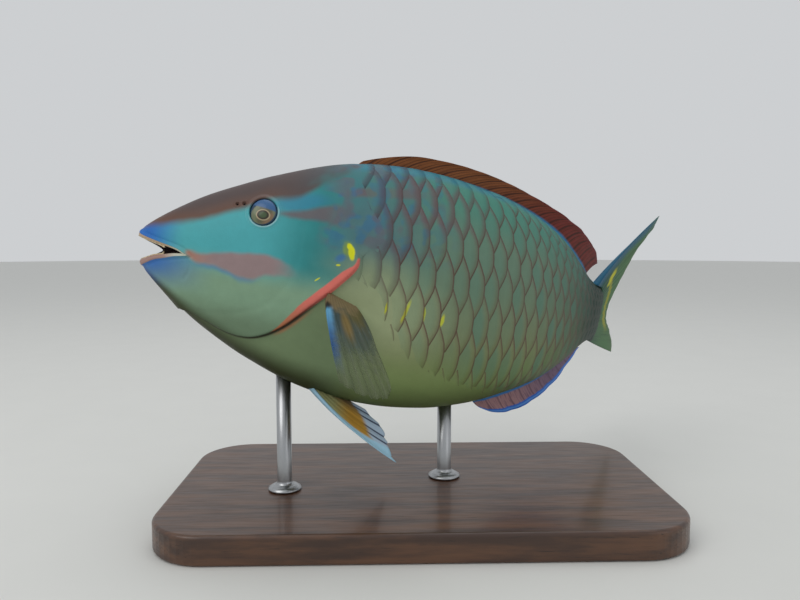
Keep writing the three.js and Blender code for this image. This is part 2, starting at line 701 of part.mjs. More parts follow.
// Stand: a slab with rounded corners and two rods that end a seam's width under the belly
function roundedRectangle(length, breadth, corner) {
  const x = length / 2;
  const y = breadth / 2;
  const shape = new THREE.Shape();
  shape.moveTo(-x + corner, -y);
  shape.lineTo(x - corner, -y);
  shape.absarc(x - corner, -y + corner, corner, -Math.PI / 2, 0);
  shape.absarc(x - corner, y - corner, corner, 0, Math.PI / 2);
  shape.absarc(-x + corner, y - corner, corner, Math.PI / 2, Math.PI);
  shape.absarc(-x + corner, -y + corner, corner, Math.PI, 1.5 * Math.PI);
  return shape;
}

function standBase() {
  const { length, breadth, thickness, corner, bevel } = base;
  const shape = roundedRectangle(length - 2 * bevel, breadth - 2 * bevel, corner - bevel);
  const options = {
    depth: thickness - 2 * bevel, bevelEnabled: true, bevelThickness: bevel, bevelSize: bevel,
    bevelSegments: 1, curveSegments: 5,
  };
  return toGeometry(toSolid(new THREE.ExtrudeGeometry(shape, options).translate(0, 0, bevel)));
}

addMesh(group, 'stand_base', standBase(), colours.wood, 0.45);

fish.updateMatrixWorld(true);
const grownWorld = toSolid(toGeometry(grownBent).applyMatrix4(fish.matrixWorld));
rod.stations.forEach((station, i) => {
  const belly = bend(station, 0, -bellyDepth(station)).applyMatrix4(fish.matrixWorld);
  const bottom = base.thickness + seam;
  const top = belly.z + rod.intoBelly;
  const { radius, foot, footEdge, footHeight } = rod;
  const side = [[foot, bottom], [foot, bottom + footEdge], [radius, bottom + footHeight], [radius, top]];
  const turned = lathe([[0, bottom], ...side, [0, top]]).translate(belly.x, belly.y, 0);
  const name = i === 0 ? 'stand_rod_front' : 'stand_rod_rear';
  addMesh(group, name, toGeometry(toSolid(turned).subtract(grownWorld)), colours.steel, 0.25, 1);
});

export default group;
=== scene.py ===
import bpy
import numpy as np
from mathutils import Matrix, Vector


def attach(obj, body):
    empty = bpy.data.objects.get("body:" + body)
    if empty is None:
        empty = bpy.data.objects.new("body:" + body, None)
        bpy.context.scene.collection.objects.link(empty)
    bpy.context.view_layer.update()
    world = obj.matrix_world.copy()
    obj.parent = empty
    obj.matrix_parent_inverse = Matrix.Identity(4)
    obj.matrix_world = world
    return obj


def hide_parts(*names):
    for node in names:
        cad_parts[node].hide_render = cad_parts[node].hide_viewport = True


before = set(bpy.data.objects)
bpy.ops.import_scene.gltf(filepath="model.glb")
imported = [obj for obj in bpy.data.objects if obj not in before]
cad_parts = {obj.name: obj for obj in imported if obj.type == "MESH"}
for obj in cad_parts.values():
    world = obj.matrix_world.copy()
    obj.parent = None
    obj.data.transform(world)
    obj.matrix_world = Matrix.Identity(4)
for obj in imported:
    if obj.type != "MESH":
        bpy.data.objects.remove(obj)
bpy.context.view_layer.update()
random = np.random.default_rng(7)
mm = 0.001
flanks = (("left", -1), ("right", 1))  # the fish's left side lies towards -y

# The body: its outline as (station, distance from the middle line) and the turn of its spine, as in the
# solids; place is where the snout's tip stands
body = {
    "length": 330.0,
    "turnStart": 82.5,
    "turnSoftness": 0.053,
    "evenTurn": np.radians(50.3),
    "growingTurn": np.radians(12.8),
    "noseUp": np.radians(10.1),
    "place": (-150.0, -14.0, 152.0),
    "back": [
        (0, 4.5), (7, 11.2), (17, 19), (33, 29.5), (50, 38.3), (66, 45.8), (99, 57.8), (119, 61.8),
        (142, 63.4), (165, 62.5), (192, 59.4), (218, 53.4), (244, 44.2), (271, 30.8), (290, 22.8),
        (307, 19.8), (320, 20), (330, 23),
    ],
    "belly": [
        (0, 7.1), (7, 15.5), (17, 24), (33, 35.4), (50, 44.9), (66, 52.4), (99, 63.6), (119, 67),
        (142, 68.2), (165, 67), (192, 62.4), (218, 55.1), (244, 46.3), (271, 34.5), (290, 26),
        (307, 21.6), (320, 20.7), (330, 22.7),
    ],
    "width": [
        (0, 3.5), (7, 8), (17, 12), (33, 16.8), (50, 20.5), (66, 23.1), (99, 27.1), (142, 28.7),
        (192, 25.4), (218, 22.1), (244, 17.5), (271, 12.2), (290, 8.9), (307, 6.6), (330, 4),
    ],
    "sideRoundness": 0.92,
    "ridgeRoundness": 0.96,
    "snoutRound": 2.6,
    "tailRound": 7.0,
}


def profileCurve(points):
    # A cubic through (place, value) points whose slopes are harmonic means, so it never overshoots them
    x, y = np.array(points, float).T
    step = np.diff(x)
    slope = np.diff(y) / step
    before, after = slope[:-1], slope[1:]
    total = np.where(before * after <= 0, 1, before + after)
    inner = np.where(before * after <= 0, 0, 2 * before * after / total)
    tangent = np.concatenate([slope[:1], inner, slope[-1:]])

    def value(place):
        place = np.clip(place, x[0], x[-1])
        i = np.clip(np.searchsorted(x, place, side="right") - 1, 0, len(x) - 2)
        t = (place - x[i]) / step[i]
        lead = t * (1 - t) ** 2 * tangent[i] * step[i]
        trail = t * t * (t - 1) * tangent[i + 1] * step[i]
        return y[i] + (y[i + 1] - y[i]) * t * t * (3 - 2 * t) + lead + trail

    return value


backHeight, bellyDepth, halfWidth = [profileCurve(body[key]) for key in ("back", "belly", "width")]


def smoothStep(value, low, high):
    # 0 below low, 1 above high, and an even S between them
    t = np.clip((value - low) / (high - low), 0, 1)
    return t * t * (3 - 2 * t)


def unit(vector):
    # The same direction with length 1
    return vector / np.linalg.norm(vector)


def fullTurn(segments):
    # Even angles once round
    return np.linspace(0, 2 * np.pi, segments, endpoint=False)


def runLength(*parts):
    # Length of the way from the first row on, for rows of points given by their coordinates
    step = np.sqrt(sum(np.diff(part, axis=0) ** 2 for part in parts))
    return np.concatenate([np.zeros_like(step[:1]), np.cumsum(step, axis=0)])


def heading(station):
    # The spine's direction: a soft ramp that starts at turnStart, plus its square
    along = (station - body["turnStart"]) / (body["length"] - body["turnStart"])
    ramp = (along + np.sqrt(along**2 + body["turnSoftness"] ** 2)) / 2
    return body["evenTurn"] * ramp + body["growingTurn"] * ramp**2


spineAngle = heading(np.arange(int(body["length"])) + 0.5)
spineX = np.concatenate([[0], np.cumsum(np.cos(spineAngle))])
spineY = np.concatenate([[0], np.cumsum(np.sin(spineAngle))])


def bendPoints(station, side, height):
    # A point of the straight fish: along the spine by its station, then square to it by side
    station, side, height = np.broadcast_arrays(station, side, height)
    i = np.clip(np.floor(station).astype(int), 0, len(spineX) - 2)
    rest = station - i
    x = spineX[i] + (spineX[i + 1] - spineX[i]) * rest
    y = spineY[i] + (spineY[i + 1] - spineY[i]) * rest
    angle = heading(station)
    return np.stack([x - side * np.sin(angle), y + side * np.cos(angle), height + 0.0], -1)


def toStand(points):
    # The bent fish pitched nose up and lifted over its stand, in metres
    c, s = np.cos(body["noseUp"]), np.sin(body["noseUp"])
    x, y, z = points[..., 0], points[..., 1], points[..., 2]
    return (np.stack([c * x + s * z, y, -s * x + c * z], -1) + body["place"]) * mm


def placed(station, side, height):
    # Where a point of the straight fish lies over the stand
    return toStand(bendPoints(station, side, height))


def section(station):
    # Middle height, half height and half width of the section, rounded off at the snout's tip and the tail
    snout = np.clip(station / body["snoutRound"], 0, 1)
    tail = np.clip((station - body["length"]) / body["tailRound"], 0, 1)
    ends = np.sqrt(np.clip(1 - (1 - snout) ** 2, 0, 1))
    middle = (backHeight(station) - bellyDepth(station)) / 2
    reach = (backHeight(station) + bellyDepth(station)) / 2 * ends * (1 - 0.1 * tail)
    width = halfWidth(station) * ends * np.sqrt(np.clip(1 - tail**2, 0, 1))
    return middle, reach, width


def heightShare(station, height):
    # 0 on the back's ridge, 1 on the belly's
    return np.clip((backHeight(station) - height) / (backHeight(station) + bellyDepth(station)), 0, 1)


def bodySurface(station, angle, lift=0.0):
    # Superellipse section: width by |cos|, half height by |sin|, pushed out along the ellipse's normal
    middle, reach, width = section(station)
    c, s = np.cos(angle), np.sin(angle)
    side = width * np.sign(c) * np.abs(c) ** body["sideRoundness"]
    height = middle + reach * np.sign(s) * np.abs(s) ** body["ridgeRoundness"]
    outX, outZ = c / np.maximum(width, 0.3), s / np.maximum(reach, 0.3)
    size = np.hypot(outX, outZ)
    return station + 0 * angle, side + lift * outX / size, height + lift * outZ / size


def surfaceSide(station, height):
    # The section's half width at a height, found from the superellipse
    middle, reach, width = section(station)
    up = np.clip(np.abs(height - middle) / reach, 0, 1) ** (1 / body["ridgeRoundness"])
    return width * np.sqrt(1 - up**2) ** body["sideRoundness"]


def surfaceSlopes(station, height):
    # Growth of the half width for each millimetre along the body and upwards, over a span of 4 mm
    along = (surfaceSide(station + 2, height) - surfaceSide(station - 2, height)) / 4
    up = (surfaceSide(station, height + 2) - surfaceSide(station, height - 2)) / 4
    return along, up


def angleAtHeight(station, height):
    # The section's angle at a height on the side
    middle, reach, _ = section(station)
    up = np.clip((height - middle) / np.maximum(reach, 1e-6), -1, 1)
    return np.arcsin(np.sign(up) * np.abs(up) ** (1 / body["ridgeRoundness"]))


# Girth table: the section's angle for each share of the way from the back's ridge to the belly's
tableStations = np.linspace(0, body["length"] + 6, 85)
tableShares = np.linspace(0, 1, 201)
gridAngle = np.linspace(np.pi / 2, -np.pi / 2, 721)
_, gridSide, gridHeight = bodySurface(tableStations[:, None], gridAngle[None, :])
gridRun = runLength(gridSide.T, gridHeight.T).T
angleTable = np.array([np.interp(tableShares * run[-1], run, gridAngle) for run in gridRun])


def halfGirth(station):
    # Length of the way over one flank, ridge to ridge
    return np.interp(station, tableStations, gridRun[:, -1])


def angleAtShare(station, share):
    # Bilinear look-up in the girth table
    row = np.clip(station / tableStations[1], 0, len(tableStations) - 1.001)
    column = np.clip(share, 0, 1) * (len(tableShares) - 1.001)
    i, j = row.astype(int), column.astype(int)
    f, g = row - i, column - j
    low = angleTable[i, j] * (1 - g) + angleTable[i, j + 1] * g
    high = angleTable[i + 1, j] * (1 - g) + angleTable[i + 1, j + 1] * g
    return low * (1 - f) + high * f


# Where the head ends: from the nape, round the gill cover's rearmost point, forward to the throat
gill = {
    "end": [
        (92, 90), (93, 62), (96, 43), (103, 29), (110, 20), (115, 8.5), (108, -3.5), (96.5, -17),
        (84, -30.5), (71, -38), (58, -38.5), (45, -34.5), (33, -31.5), (26, -38), (22, -90),
    ],
    "top": 29.0,
    "front": 30.0,
    "step": 1.8,
    "swell": 9.0,
    "sink": 0.7,
    "sinkLength": 6.0,
    "edgeWidth": 0.8,
    "fade": 0.4,
}


def throughPoints(points, count):
    # Catmull-Rom curve through points, as count + 1 places along it
    p = np.array(points, float)
    t = np.linspace(0, len(p) - 1, count + 1)
    i = np.clip(t.astype(int), 0, len(p) - 2)
    w = (t - i)[:, None]
    a, b, c, d = p[np.maximum(i - 1, 0)], p[i], p[i + 1], p[np.minimum(i + 2, len(p) - 1)]
    v0, v1 = (c - a) / 2, (d - b) / 2
    return (2 * b - 2 * c + v0 + v1) * w**3 + (3 * c - 3 * b - 2 * v0 - v1) * w**2 + v0 * w + b


headRear = throughPoints(gill["end"], 90)
gillLine = headRear[(headRear[:, 0] > gill["front"]) & (headRear[:, 1] < gill["top"])]
headPolygon = np.concatenate([[(-20, 90)], headRear, [(-20, -90)]])


def nearLine(station, height, line):
    # Distance to the nearest place of a line of points, and how far along the line that place is
    best = np.full(np.shape(station), 1e9)
    along = np.zeros(np.shape(station))
    lengths = np.hypot(*np.diff(line, axis=0).T)
    starts = np.concatenate([[0], np.cumsum(lengths)])
    for (x0, z0), (x1, z1), length, start in zip(line[:-1], line[1:], lengths, starts):
        t = np.clip(((station - x0) * (x1 - x0) + (height - z0) * (z1 - z0)) / length**2, 0, 1)
        distance = np.hypot(station - x0 - t * (x1 - x0), height - z0 - t * (z1 - z0))
        closer = distance < best
        best = np.where(closer, distance, best)
        along = np.where(closer, (start + t * length) / starts[-1], along)
    return best, along


def insideOutline(station, height, line):
    # Even-odd rule: counts the outline's edges that cross a ray towards higher stations
    inside = np.zeros(np.shape(station), bool)
    for (x0, z0), (x1, z1) in zip(line, np.roll(line, -1, axis=0)):
        spans = (z0 > height) != (z1 > height)
        crossing = x0 + (height - z0) * (x1 - x0) / (z1 - z0 if z1 != z0 else 1)
        inside ^= spans & (station < crossing)
    return inside


def gillFields(station, height):
    # Signed distance to the head's rear end, distance to the gill cover's edge, and the way along it
    toEnd, _ = nearLine(station, height, headRear)
    sign = np.where(insideOutline(station, height, headPolygon), -1.0, 1.0)
    toGill, along = nearLine(station, height, gillLine)
    return toEnd * sign, toGill, along


# How deep the skin lies under the solids' surface on the head, the trunk and its smooth parts; how far
# back the scales start over the nape; from which station, and by how much of the girth or height share for
# each millimetre, the smooth belly's edge drops; depth and wall of the wells under the nostrils
relief = {
    "head": 0.1,
    "trunk": 0.6,
    "smooth": 0.08,
    "smoothNape": 20.0,
    "bellyFrom": 130.0,
    "bellyDrop": 0.0034,
    "pit": 1.4,
    "pitWall": 0.8,
}
eye = {
    "station": 66.3, "height": 25.7, "radius": 7.1, "sunk": 0.9, "dome": 2.4, "depth": 5.4,
    "patchRadius": 9.7, "wellFloor": 7.4, "wellRadius": 9.1, "wellDepth": 4.6,
}
nostrils = [(52.0, 27.5, 0.9), (55.6, 28.3, 1.1)]
# Folds of the head, as (points, depth, width): edge of the cheek's plate, crease at the mouth's corner,
# crease under the jaw
grooves = [
    ([(86, 22), (87.5, 8), (84, -8), (74, -21), (58, -28), (42, -29.5)], 0.22, 1.5),
    ([(30, -3.4), (32.8, -6.5), (33.4, -10.5), (31, -15)], 0.28, 0.9),
    ([(12, -17.5), (22, -22.5), (33, -27.5), (44, -31)], 0.2, 1.1),
]


def aboveGill(height):
    # 1 above the gill cover, where head and trunk meet without a step
    return smoothStep(height, 9, 25)


def surfaceLift(station, height):
    # The relief shared by skin and patches: raised gill cover, sunk edge of the trunk behind it
    toEnd, toGill, along = gillFields(station, height)
    upper = aboveGill(height)
    blend = gill["edgeWidth"] + gill["fade"] * np.maximum(np.clip(toGill - 2, 0, 12), 8 * upper)
    onTrunk = smoothStep(toEnd, -blend, blend)
    head = -relief["head"] + gill["step"] * np.exp(-toGill / gill["swell"]) * (1 - upper)
    trunk = -gill["sink"] * np.exp(-toGill / gill["sinkLength"]) * (1 - upper)
    return head * (1 - onTrunk) + trunk * onTrunk, toEnd, toGill, along


def roundDistance(station, height, centre):
    # Distance from a point of the flank's surface, over the tangent plane there
    slopeAlong, slopeUp = surfaceSlopes(*centre)
    ds, dz = station - centre[0], height - centre[1]
    return np.sqrt(ds**2 + dz**2 + (slopeAlong * ds + slopeUp * dz) ** 2)


def napeFade(toGill, height):
    # How far ahead of the head's rear end the skin starts to sink: nothing at the gill cover
    return 0.7 * np.maximum(np.clip(toGill - 2, 0, 12), 7 * aboveGill(height))


def pastNape(toEnd, height):
    # Distance behind the line where scales start: the head's rear end, but further back over the nape
    return toEnd - relief["smoothNape"] * aboveGill(height)


def lowered(share, station):
    # The girth or height share as seen from the smooth belly's edge, which drops towards the tail
    return share - (station - relief["bellyFrom"]) * relief["bellyDrop"]


def smoothCover(station, height):
    # 1 on the smooth breast and belly, 0 where scales stand free
    belly = smoothStep(lowered(heightShare(station, height), station), 0.5, 0.92)
    breast = (1 - smoothStep(station, 100, 156)) * smoothStep(-height, -16, 12)
    return 1 - (1 - belly) * (1 - breast)


def skinLift(station, height):
    # Whole relief of the skin: gill cover, folds, and wells under the eyes' and nostrils' patches
    lift, toEnd, toGill, along = surfaceLift(station, height)
    cover = smoothCover(station, height)
    depth = relief["trunk"] * (1 - cover) + relief["smooth"] * cover
    lift = lift - depth * smoothStep(pastNape(toEnd, height), -0.6 - napeFade(toGill, height), 0.9)
    for line, deep, wide in grooves:
        lift = lift - deep * np.exp(-((nearLine(station, height, throughPoints(line, 24))[0] / wide) ** 2))
    toEye = roundDistance(station, height, (eye["station"], eye["height"]))
    lift = lift - eye["wellDepth"] * (1 - smoothStep(toEye, eye["wellFloor"], eye["wellRadius"]))
    for s, z, radius in nostrils:
        toPit = roundDistance(station, height, (s, z))
        lift = lift - relief["pit"] * (1 - smoothStep(toPit, radius, radius + relief["pitWall"]))
    return lift, toEnd, toGill, along


def markingFields(station, height, toEnd, toGill, along, rim):
    # What the markings read at each point: place on the body, and distances to the gill's edge and lips
    return {
        "station": station, "height": height, "share": heightShare(station, height),
        "gill": np.sign(toEnd) * toGill, "gillAlong": along, "rim": rim + 0 * station,
    }


# Distances beyond the reach of the lips' colours and of the gill cover's colours
farFromLips = 50.0
farFromGill = 30.0


# Mesh making
def makeMesh(name, points, faces, attributes=None, uv=None, smooth=True):
    # Points in metres and arrays of faces, each array with one number of corners; smooth can be a mask
    mesh = bpy.data.meshes.new(name)
    mesh.from_pydata(points.reshape(-1, 3).tolist(), [], [f for part in faces for f in part.tolist()])
    for key, values in (attributes or {}).items():
        layer = mesh.attributes.new(key, "FLOAT", "POINT")
        layer.data.foreach_set("value", np.ascontiguousarray(values, np.float32).ravel())
    if uv is not None:
        corner = np.zeros(len(mesh.loops), np.int32)
        mesh.loops.foreach_get("vertex_index", corner)
        layer = mesh.uv_layers.new(name="OFBake")
        layer.data.foreach_set("uv", np.asarray(uv, np.float32).reshape(-1, 2)[corner].ravel())
    mesh.polygons.foreach_set("use_smooth", np.broadcast_to(smooth, len(mesh.polygons)).copy())
    mesh.validate()
    mesh.update()
    return mesh


def addPiece(name, mesh, material, nodes=()):
    # A piece of the fish or its stand, which rides on the one body and may replace solids
    piece = bpy.data.objects.new(name, mesh)
    bpy.context.scene.collection.objects.link(piece)
    mesh.materials.append(material)
    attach(piece, "root")
    if nodes:
        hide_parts(*nodes)


def gridFaces(rows, columns, closed=False):
    # Quads of a rows x columns grid of points, joined round when closed
    r = np.arange(rows - 1)[:, None]
    c = np.arange(columns if closed else columns - 1)[None, :]
    a = r * columns + c
    b = r * columns + (c + 1) % columns
    return np.stack([a, b, b + columns, a + columns], -1).reshape(-1, 4)


def ringFaces(rows, columns, caps=2, flip=False):
    # Rings of points joined one to the next, with a cap on the first ring and then one on the last
    ring = np.arange(columns)
    ends = np.stack([ring[::-1], ring + (rows - 1) * columns])[:caps]
    parts = [gridFaces(rows, columns, closed=True), ends]
    return [part[:, ::-1] for part in parts] if flip else parts


def sheetFaces(rows, columns):
    # Two like grids of points, one after the other, joined round their edge to a closed sheet
    near = gridFaces(rows, columns)
    far = near[:, ::-1] + rows * columns
    top = np.arange(columns)
    bottom = top + (rows - 1) * columns
    left = np.arange(rows) * columns
    right = left + columns - 1
    edge = np.concatenate([top, right[1:], bottom[-2::-1], left[-2:0:-1]])
    following = np.roll(edge, -1)
    rim = np.stack([following, edge, edge + rows * columns, following + rows * columns], -1)
    return np.concatenate([near, far, rim])


# Node making: new nodes go into the tree at hand, which each new material or group sets
atHand = {"tree": None}


class Field:
    # A value put out by a node, so that sums and products of such values read as plain arithmetic
    def __init__(self, socket):
        self.socket = socket

    def __add__(self, other):
        return calc("ADD", self, other)

    def __sub__(self, other):
        return calc("SUBTRACT", self, other)

    def __rsub__(self, other):
        return calc("SUBTRACT", other, self)

    def __mul__(self, other):
        return calc("MULTIPLY", self, other)

    def __truediv__(self, other):
        return calc("DIVIDE", self, other)

    def __abs__(self):
        return calc("ABSOLUTE", self)


def srgb(red, green, blue):
    # Screen colour, 0 to 255, to the linear colour that nodes take
    c = np.array([red, green, blue]) / 255
    linear = np.where(c <= 0.04045, c / 12.92, ((c + 0.055) / 1.055) ** 2.4)
    return (*linear.tolist(), 1.0)


def connect(socket, value):
    # Links a field to an input or sets its value; a colour is given as on the screen, 0 to 255
    if isinstance(value, Field):
        atHand["tree"].links.new(value.socket, socket)
    else:
        socket.default_value = srgb(*value) if socket.type == "RGBA" else value


def addNode(kind, inputs, output=0, **settings):
    # A node with its settings and its inputs by name or number; gives the field that it puts out
    node = atHand["tree"].nodes.new(kind)
    for key, value in settings.items():
        setattr(node, key, value)
    for key, value in inputs.items():
        connect(node.inputs[key], value)
    return Field(node.outputs[output])


def calc(operation, *values):
    # Arithmetic on fields and numbers
    return addNode("ShaderNodeMath", dict(enumerate(values)), operation=operation)


def flatLength(x, y):
    # Length of the flat vector (x, y)
    return calc("SQRT", x * x + y * y)


def ramp(value, low, high, bottom=0.0, top=1.0):
    # An even S from bottom to top as the value goes from low to high
    inputs = dict(enumerate((value, low, high, bottom, top)))
    return addNode("ShaderNodeMapRange", inputs, interpolation_type="SMOOTHSTEP")


def mixColour(share, first, second, mode="MIX"):
    # The first colour where share is 0, the second where it is 1
    return addNode("ShaderNodeMix", {0: share, 6: first, 7: second}, 2, data_type="RGBA", blend_type=mode)


def coats(colour, *layers):
    # Lays (mask, colour) layers over a colour, one after the other
    for mask, over in layers:
        colour = mixColour(mask, colour, over)
    return colour


def readField(name):
    # A value that the mesh carries at its points
    return addNode("ShaderNodeAttribute", {}, "Fac", attribute_name=name)


def noise(size, detail=3.0, rough=0.5, place=None, stretch=None, shift=0.0):
    # Noise with features of a size in millimetres, on object coordinates unless a place is given
    if place is None:
        place = addNode("ShaderNodeTexCoord", {}, "Object")
    if shift:
        place = addNode("ShaderNodeVectorMath", {0: place, 1: (shift, shift, shift)}, operation="ADD")
    if stretch:
        place = addNode("ShaderNodeMapping", {"Vector": place, "Scale": stretch})
    inputs = {"Vector": place, "Scale": 1 / (size * mm), "Detail": detail, "Roughness": rough}
    return addNode("ShaderNodeTexNoise", inputs, "Fac")


def curveOf(value, points):
    # The smooth curve through (value, result) points, as a node
    x, y = np.array(points, float).T
    low, spread = float(y.min()), float(y.max() - y.min())
    node = atHand["tree"].nodes.new("ShaderNodeFloatCurve")
    curve = node.mapping.curves[0]
    places = list(zip((x - x[0]) / (x[-1] - x[0]), (y - low) / spread))
    curve.points[0].location = places[0]
    curve.points[1].location = places[-1]
    for place in places[1:-1]:
        curve.points.new(*place)
    node.mapping.update()
    connect(node.inputs["Value"], addNode("ShaderNodeMapRange", {0: value, 1: x[0], 2: x[-1]}))
    return Field(node.outputs[0]) * spread + low


def bandMask(x, y, low, high, soft):
    # 1 between two curves given along x, fading over soft millimetres
    return ramp(y - curveOf(x, low), -soft, soft) * ramp(curveOf(x, high) - y, -soft, soft)


def spotMask(x, y, centre, radii, turn, soft):
    # 1 inside an ellipse: the turned distance from its centre in units of its radii
    dx, dy = x - centre[0], y - centre[1]
    c, s = float(np.cos(turn)), float(np.sin(turn))
    u = dx * (c / radii[0]) + dy * (s / radii[0])
    v = dx * (-s / radii[1]) + dy * (c / radii[1])
    return ramp(flatLength(u, v), 1 + soft, 1 - soft)


def newMaterial(name, roughness=0.5, specular=0.5, coat=0.0, coatRoughness=0.1, ior=1.5):
    # A Principled material as (material, inputs of its shader)
    material = bpy.data.materials.new(name)
    material.use_nodes = True
    atHand["tree"] = material.node_tree
    inputs = material.node_tree.nodes["Principled BSDF"].inputs
    inputs["Roughness"].default_value = roughness
    inputs["IOR"].default_value = ior
    inputs["Specular IOR Level"].default_value = specular
    inputs["Coat Weight"].default_value = coat
    inputs["Coat Roughness"].default_value = coatRoughness
    return material, inputs


def addBump(inputs, height, distance, strength=0.5):
    # Relief whose full height is a distance in millimetres
    settings = {"Height": height, "Distance": distance * mm, "Strength": strength}
    connect(inputs["Normal"], addNode("ShaderNodeBump", settings))


# Markings of the fish, shared by skin and scales; among them are painted shade under the throat, towards
# the tail, under the gill cover's edge and inside the mouth, partly painted light on the lower flank and
# belly, and a partly painted glint at the lips' corner. Edges are (station, height) points in millimetres,
# spots are (centre, radii, turn), coralWidth gives the coral edge's width along the gill cover, and
# yellowMarks the softness and strength of each kind of spot.
markings = {
    "teal": (78, 166, 172),
    "tealRear": (50, 131, 132),
    "cheek": (128, 159, 132),
    "cheekLow": (108, 131, 105),
    "back": (75, 136, 121),
    "flank": (110, 132, 112),
    "napeBlue": (72, 110, 124),
    "ridgeBlue": (56, 128, 152),
    # lowFlank and belly: paler tones, partly their own and partly painted light from below
    "lowFlank": (134, 141, 101),
    "belly": (130, 150, 94),
    "breast": (118, 138, 102),
    "paleFlank": (164, 174, 134),
    # throat: painted shade on the underside of the head and breast
    "throat": (56, 62, 36),
    # rear: the darkening towards the tail is painted shade
    "rear": (14, 46, 34),
    "cap": (87, 76, 75),
    "capRear": (76, 86, 92),
    "blotchBlue": (58, 110, 146),
    "blotchMauve": (102, 98, 108),
    "capEdge": (104, 77, 66),
    "blue": (44, 102, 184),
    "stripeBlue": (56, 128, 158),
    "salmon": (148, 128, 128),
    "salmonCorner": (166, 124, 108),
    "mauve": (106, 96, 100),
    "coral": (218, 115, 104),
    "coralLow": (174, 112, 78),
    "yellow": (214, 216, 40),
    "yellowGreen": (128, 152, 70),
    # line: painted shade under the gill cover's raised edge
    "line": (48, 42, 36),
    "lipCream": (200, 170, 130),
    "lipPink": (168, 132, 112),
    # lipWhiteGlint: whitish lips at the mouth's corner, partly their own tone and partly a painted glint
    "lipWhiteGlint": (206, 204, 184),
    # mouthShade: painted shade inside the mouth and in the nostrils' pits
    "mouthShade": (34, 24, 26),
    "capLow": [
        (-2, 5), (8, 8.6), (16, 10.6), (23, 12.6), (30, 14.8), (37, 17.4), (47, 22), (59, 27),
        (66, 31), (72, 33), (81, 35.2), (86, 38.5), (90, 42), (94, 45.5), (104, 50), (120, 56),
    ],
    "bandHigh": [
        (27, -2.2), (30, -0.4), (38.7, -0.4), (45, 0.6), (51, 1.9), (58, 3.4), (65, 4.2), (70, 4.3),
        (75, 3.6), (80, 2.2), (86, 0.2), (91, -1.5),
    ],
    "bandLow": [
        (27, -2.6), (31, -3.4), (37, -5.0), (42, -5.6), (46, -5.6), (53, -6.3), (59, -8.1),
        (64, -8.6), (70, -6.8), (75, -4.8), (79, -4.6), (83, -4.6), (87, -3.6), (91, -2.5),
    ],
    "stripeHigh": [(70, 27.6), (75, 27.4), (81, 28.8), (88, 30.6), (95, 33.2), (102, 35.5), (112, 37)],
    "stripeLow": [
        (70, 25), (75, 25.3), (81, 25.8), (87, 25.8), (93, 25.7), (100, 26.2), (106, 25), (112, 26),
    ],
    "napeHigh": [(104, 44.5), (112, 46.5), (125, 49.5), (142, 51.5)],
    "napeLow": [(104, 41), (112, 42), (125, 44.5), (142, 47)],
    "coralWidth": [
        (0.0, 0.0), (0.13, 0.0), (0.16, 0.9), (0.19, 1.8), (0.22, 3.2), (0.26, 3.9), (0.32, 4.1),
        (0.42, 4.0), (0.48, 3.2), (0.53, 2.3), (0.57, 1.3), (0.61, 0.4), (0.65, 0.0), (1.0, 0.0),
    ],
    "paleSpot": ((131, -12), (25, 19), -0.35),
    "brightSpot": ((83, 33.5), (13, 4.5), 0.25),
    "gillGround": ((109.3, 14.8), (2.5, 3.6), 0.3),
    "gillPatch": ((106.4, 9.8), (2.2, 1.6), 0.6),
    "gillSpot": [((109.6, 16.2), (1.2, 1.6), 0.5), ((111.0, 13.2), (1.5, 3.6), 0.2)],
    "flecks": [((105.9, 6.1), (1.0, 0.5), 0.2), ((97.6, -2.7), (0.35, 1.5), -0.8)],
    "dashes": [
        ((131.0, -11.4), (0.5, 2.8), 0.0), ((140.4, -11.8), (0.75, 5.8), -0.2),
        ((149.4, -11.4), (0.55, 3.5), 0.1), ((159.0, -13.6), (0.9, 3.2), -0.1),
    ],
    "yellowMarks": {"gillSpot": (0.25, 1.0), "flecks": (0.3, 0.85), "dashes": (0.45, 0.85)},
    "mottle": 0.6,
}


def groundColour(s, h, share, toGill):
    # Teal head over a grey-green cheek; blue-green back, grey-green flank, olive belly, made paler partly as
    # painted light from below; painted shade under the throat; darker to the tail, as painted shade
    m = markings
    # the throat layer is painted shade on the head's underside
    cheek = coats(m["cheek"], (ramp(h, -18, -34), m["cheekLow"]), (ramp(share, 0.82, 0.95), m["throat"]))
    head = coats(m["teal"], (ramp(s, 64, 96), m["tealRear"]), (ramp(h, 4, -13), cheek))
    flank = coats(
        m["back"],
        (ramp(share, 0.05, 0.3), m["flank"]),
        (ramp(s, 162, 122) * ramp(share, 0.5, 0.3) * 0.7, m["napeBlue"]),
        # paler lower flank and belly: partly their own tone, partly painted light from below
        (ramp(share, 0.3, 0.8), m["lowFlank"]),
        (ramp(share, 0.62, 0.92), m["belly"]),
        (ramp(s, 138, 108) * ramp(h, 0, -20), m["breast"]),
        (spotMask(s, h, *m["paleSpot"], 0.7) * 0.68, m["paleFlank"]),
        # painted shade under the throat and breast
        (ramp(share, 0.84, 0.97) * ramp(s, 130, 100, 0.45, 1.0), m["throat"]),
        # darker towards the tail: painted shade
        (ramp(s, 205, 300), m["rear"]),
        (ramp(share, 0.05, 0.02) * 0.8, m["ridgeBlue"]),
    )
    above = ramp(h, -6, 8)
    return mixColour(ramp(s, 88, 120) * above + ramp(toGill, -0.6, 1.0) * (1 - above), head, flank)


